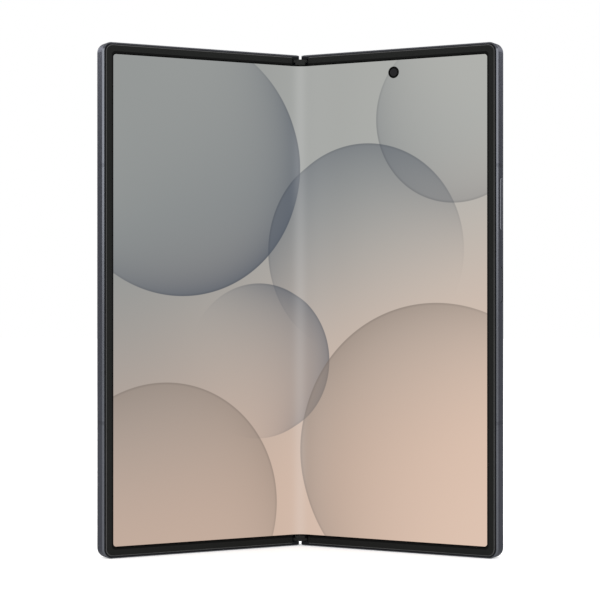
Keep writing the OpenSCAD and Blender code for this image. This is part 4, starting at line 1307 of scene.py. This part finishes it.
inner_ring = round_piece("inner_camera_ring", RING, INNER_U, INNER_Z)
finish_piece(inner_ring, "right", "right_half", plastics["print_black"])
# The rear cameras' dome rises backwards, so its depths are mirrored for this one
turned = [(radius, MIRROR_W - w) for radius, w in dome(LENS_R, LENS_W, LENS_RISE)]
inner_lens = round_piece("inner_camera_lens", [LENS_RIM, *turned], INNER_U, INNER_Z)
finish_piece(inner_lens, "right", "right_half", plastics["smoky_glass"])
print("inner camera at u", round(INNER_U, 2), "z", round(INNER_Z, 2), "mm")

# %% [markdown]
# ## The soft ends of the crease
# Each end of the spine has a moulded bar of soft plastic. A tongue runs from it under the end of
# the screen, and a foot holds it in the spine. It is a small cross, so three bars are united. The
# upper cap is the lower one mirrored at mid-height.

# %% Helpers for bars
def bar(name, low, high, edge, segments=3):
    """A box between two corners in millimetres, with rounded edges."""
    fresh()
    middle = [(a + b) / 2 * MM for a, b in zip(low, high)]
    bpy.ops.mesh.primitive_cube_add(size=1, location=middle)
    bpy.context.object.scale = [(b - a) * MM for a, b in zip(low, high)]
    piece = start_piece(name)
    if edge:
        edit(piece, "EDGE")
        bpy.ops.mesh.select_all(action="SELECT")
        bpy.ops.mesh.bevel(offset=edge * MM, segments=segments, affect="EDGES")
        bpy.ops.object.mode_set(mode="OBJECT")
    return piece


def unite(piece, other):
    """Adds another piece to this one and removes it."""
    apply_modifier(piece, "BOOLEAN", object=other, operation="UNION", solver="EXACT")
    bpy.data.objects.remove(other)
    return piece


# %% Crease caps
# Half width, lower and upper edge, front and back edge, and the edges' radius
CAP_BAR = (2.3, (1.4, 2.45), (-0.1, 1.2), 0.35)
CAP_TONGUE = (1.6, (2.0, 3.2), (-0.1, 1.2), 0.3)
CAP_STEM = (1.0, (1.4, 2.0), (0.9, 2.05), 0)


def cap_bar(name, half_u, upright, depth, edge):
    """One upright bar of the lower cap, in front of the hinge axis."""
    ahead = AXIS_Y / MM - AXIS_W / MM
    low = (-half_u, ahead + depth[0], upright[0])
    high = (half_u, ahead + depth[1], upright[1])
    return bar(name, low, high, edge)


cap_bottom = cap_bar("soft_cap_bottom", *CAP_BAR)
unite(cap_bottom, cap_bar("tongue", *CAP_TONGUE))
unite(cap_bottom, cap_bar("stem", *CAP_STEM))
cap_top = copy_of(cap_bottom, "soft_cap_top")
UPSIDE_DOWN = Matrix.Translation((0, 0, BODY_H)) @ Matrix.Scale(-1, 4, (0, 0, 1))
cap_top.data.transform(UPSIDE_DOWN)
cap_top.data.flip_normals()
for cap, replaced in ((cap_bottom, "crease_cap_bottom"), (cap_top, "crease_cap_top")):
    smooth(cap, degrees=40)
    wear(cap, plastics["soft_black"])
    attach(cap, "spine")
    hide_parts(replaced)
print("crease caps:", len(cap_bottom.data.polygons), "faces each")

# %% [markdown]
# ## Keys
# The keys are short bars with full round ends and a softened top edge that catches the light, and a
# flange behind the wall keeps them in.

# %% Modelling a key
KEY_ROOT_U = 64.5
KEY_FRONT, KEY_BACK = 2.0, 4.2
KEY_END_R = 1.08
KEY_SOFT = 0.2
FLANGE_U = (64.1, 64.6)
FLANGE_OVER = (0.3, 0.7)
FLANGE_END_R = 1.38


def pick_edges(piece, test):
    """Selects the edges whose two ends pass a test together."""
    bpy.ops.object.mode_set(mode="OBJECT")
    points = piece.data.vertices
    for part in piece.data.edges:
        first, last = (points[i].co for i in part.vertices)
        part.select = bool(test(first, last))
    bpy.ops.object.mode_set(mode="EDIT")


def round_ends(key, radius, segments):
    """Rounds the ends of a bar that lies along the fold."""
    edit(key, "EDGE")
    pick_edges(key, lambda a, b: near(a.y, b.y) and near(a.z, b.z))
    bpy.ops.mesh.bevel(offset=radius * MM, segments=segments, affect="EDGES")


def model_key(name, low_z, high_z, top_u):
    """A key with full round ends, a softened top edge and a flange behind the wall."""
    key = bar(name, (KEY_ROOT_U, KEY_FRONT, low_z), (top_u, KEY_BACK, high_z), edge=0)
    round_ends(key, KEY_END_R, segments=10)
    bpy.ops.mesh.select_all(action="DESELECT")
    pick_edges(key, lambda a, b: near(a.x, top_u * MM) and near(b.x, top_u * MM))
    bpy.ops.mesh.bevel(offset=KEY_SOFT * MM, segments=4, affect="EDGES")
    bpy.ops.object.mode_set(mode="OBJECT")
    aside, along = FLANGE_OVER
    flange_low = (FLANGE_U[0], KEY_FRONT - aside, low_z - along)
    flange_high = (FLANGE_U[1], KEY_BACK + aside, high_z + along)
    flange = bar("flange", flange_low, flange_high, edge=0)
    round_ends(flange, FLANGE_END_R, segments=8)
    bpy.ops.object.mode_set(mode="OBJECT")
    return unite(key, flange)


# %% Volume rocker and side key
# Lower and upper end, and how far out the face stands
ROCKER = (97.65, 113.15, 66.55)
BUTTON = (76.2, 86.6, 66.25)

volume_rocker = model_key("volume_rocker", *ROCKER)
finish_piece(volume_rocker, "right", "volume_key", rocker_metal, degrees=40)
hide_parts("volume_key")
side_button = model_key("side_button", *BUTTON)
finish_piece(side_button, "right", "side_key", button_metal, degrees=40)
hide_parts("side_key")
print("key faces:", len(volume_rocker.data.polygons), len(side_button.data.polygons))

# %% [markdown]
# ## Charging socket and speakers
# The socket's tongue carries twelve gold contacts on each face: one is modelled and repeated by an
# array. A fine dark mesh lies behind each speaker grille.

# %% Contacts of the socket
CONTACTS = 12
CONTACT_PITCH = 0.5
CONTACT_W = 0.24
CONTACT_REACH = 0.37
CONTACT_Z = (1.5, 4.4)

first_u = SOCKET_U - CONTACT_PITCH * (CONTACTS - 1) / 2
contacts = bar(
    "socket_contacts",
    (first_u - CONTACT_W / 2, SOCKET_W - CONTACT_REACH, CONTACT_Z[0]),
    (first_u + CONTACT_W / 2, SOCKET_W + CONTACT_REACH, CONTACT_Z[1]),
    edge=0.02,
    segments=1,
)
apply_modifier(
    contacts,
    "ARRAY",
    count=CONTACTS,
    use_relative_offset=False,
    use_constant_offset=True,
    constant_offset_displace=(CONTACT_PITCH * MM, 0, 0),
)
finish_piece(contacts, "right", "right_half", metals["gold_plate"])
print("contacts:", CONTACTS)

# %% Meshes of the speakers
MESH_LOW = (49.2, 2.5, 1.64)
MESH_HIGH = (62.4, 4.1, 1.8)

mesh_bottom = bar("speaker_mesh_bottom", MESH_LOW, MESH_HIGH, edge=0.03, segments=1)
mesh_top = copy_of(mesh_bottom, "speaker_mesh_top")
mesh_top.data.transform(UPSIDE_DOWN)
mesh_top.data.flip_normals()
for mesh in (mesh_bottom, mesh_top):
    finish_piece(mesh, "left", "left_half", woven_mesh)
print("speaker meshes:", mesh_bottom.name, mesh_top.name)
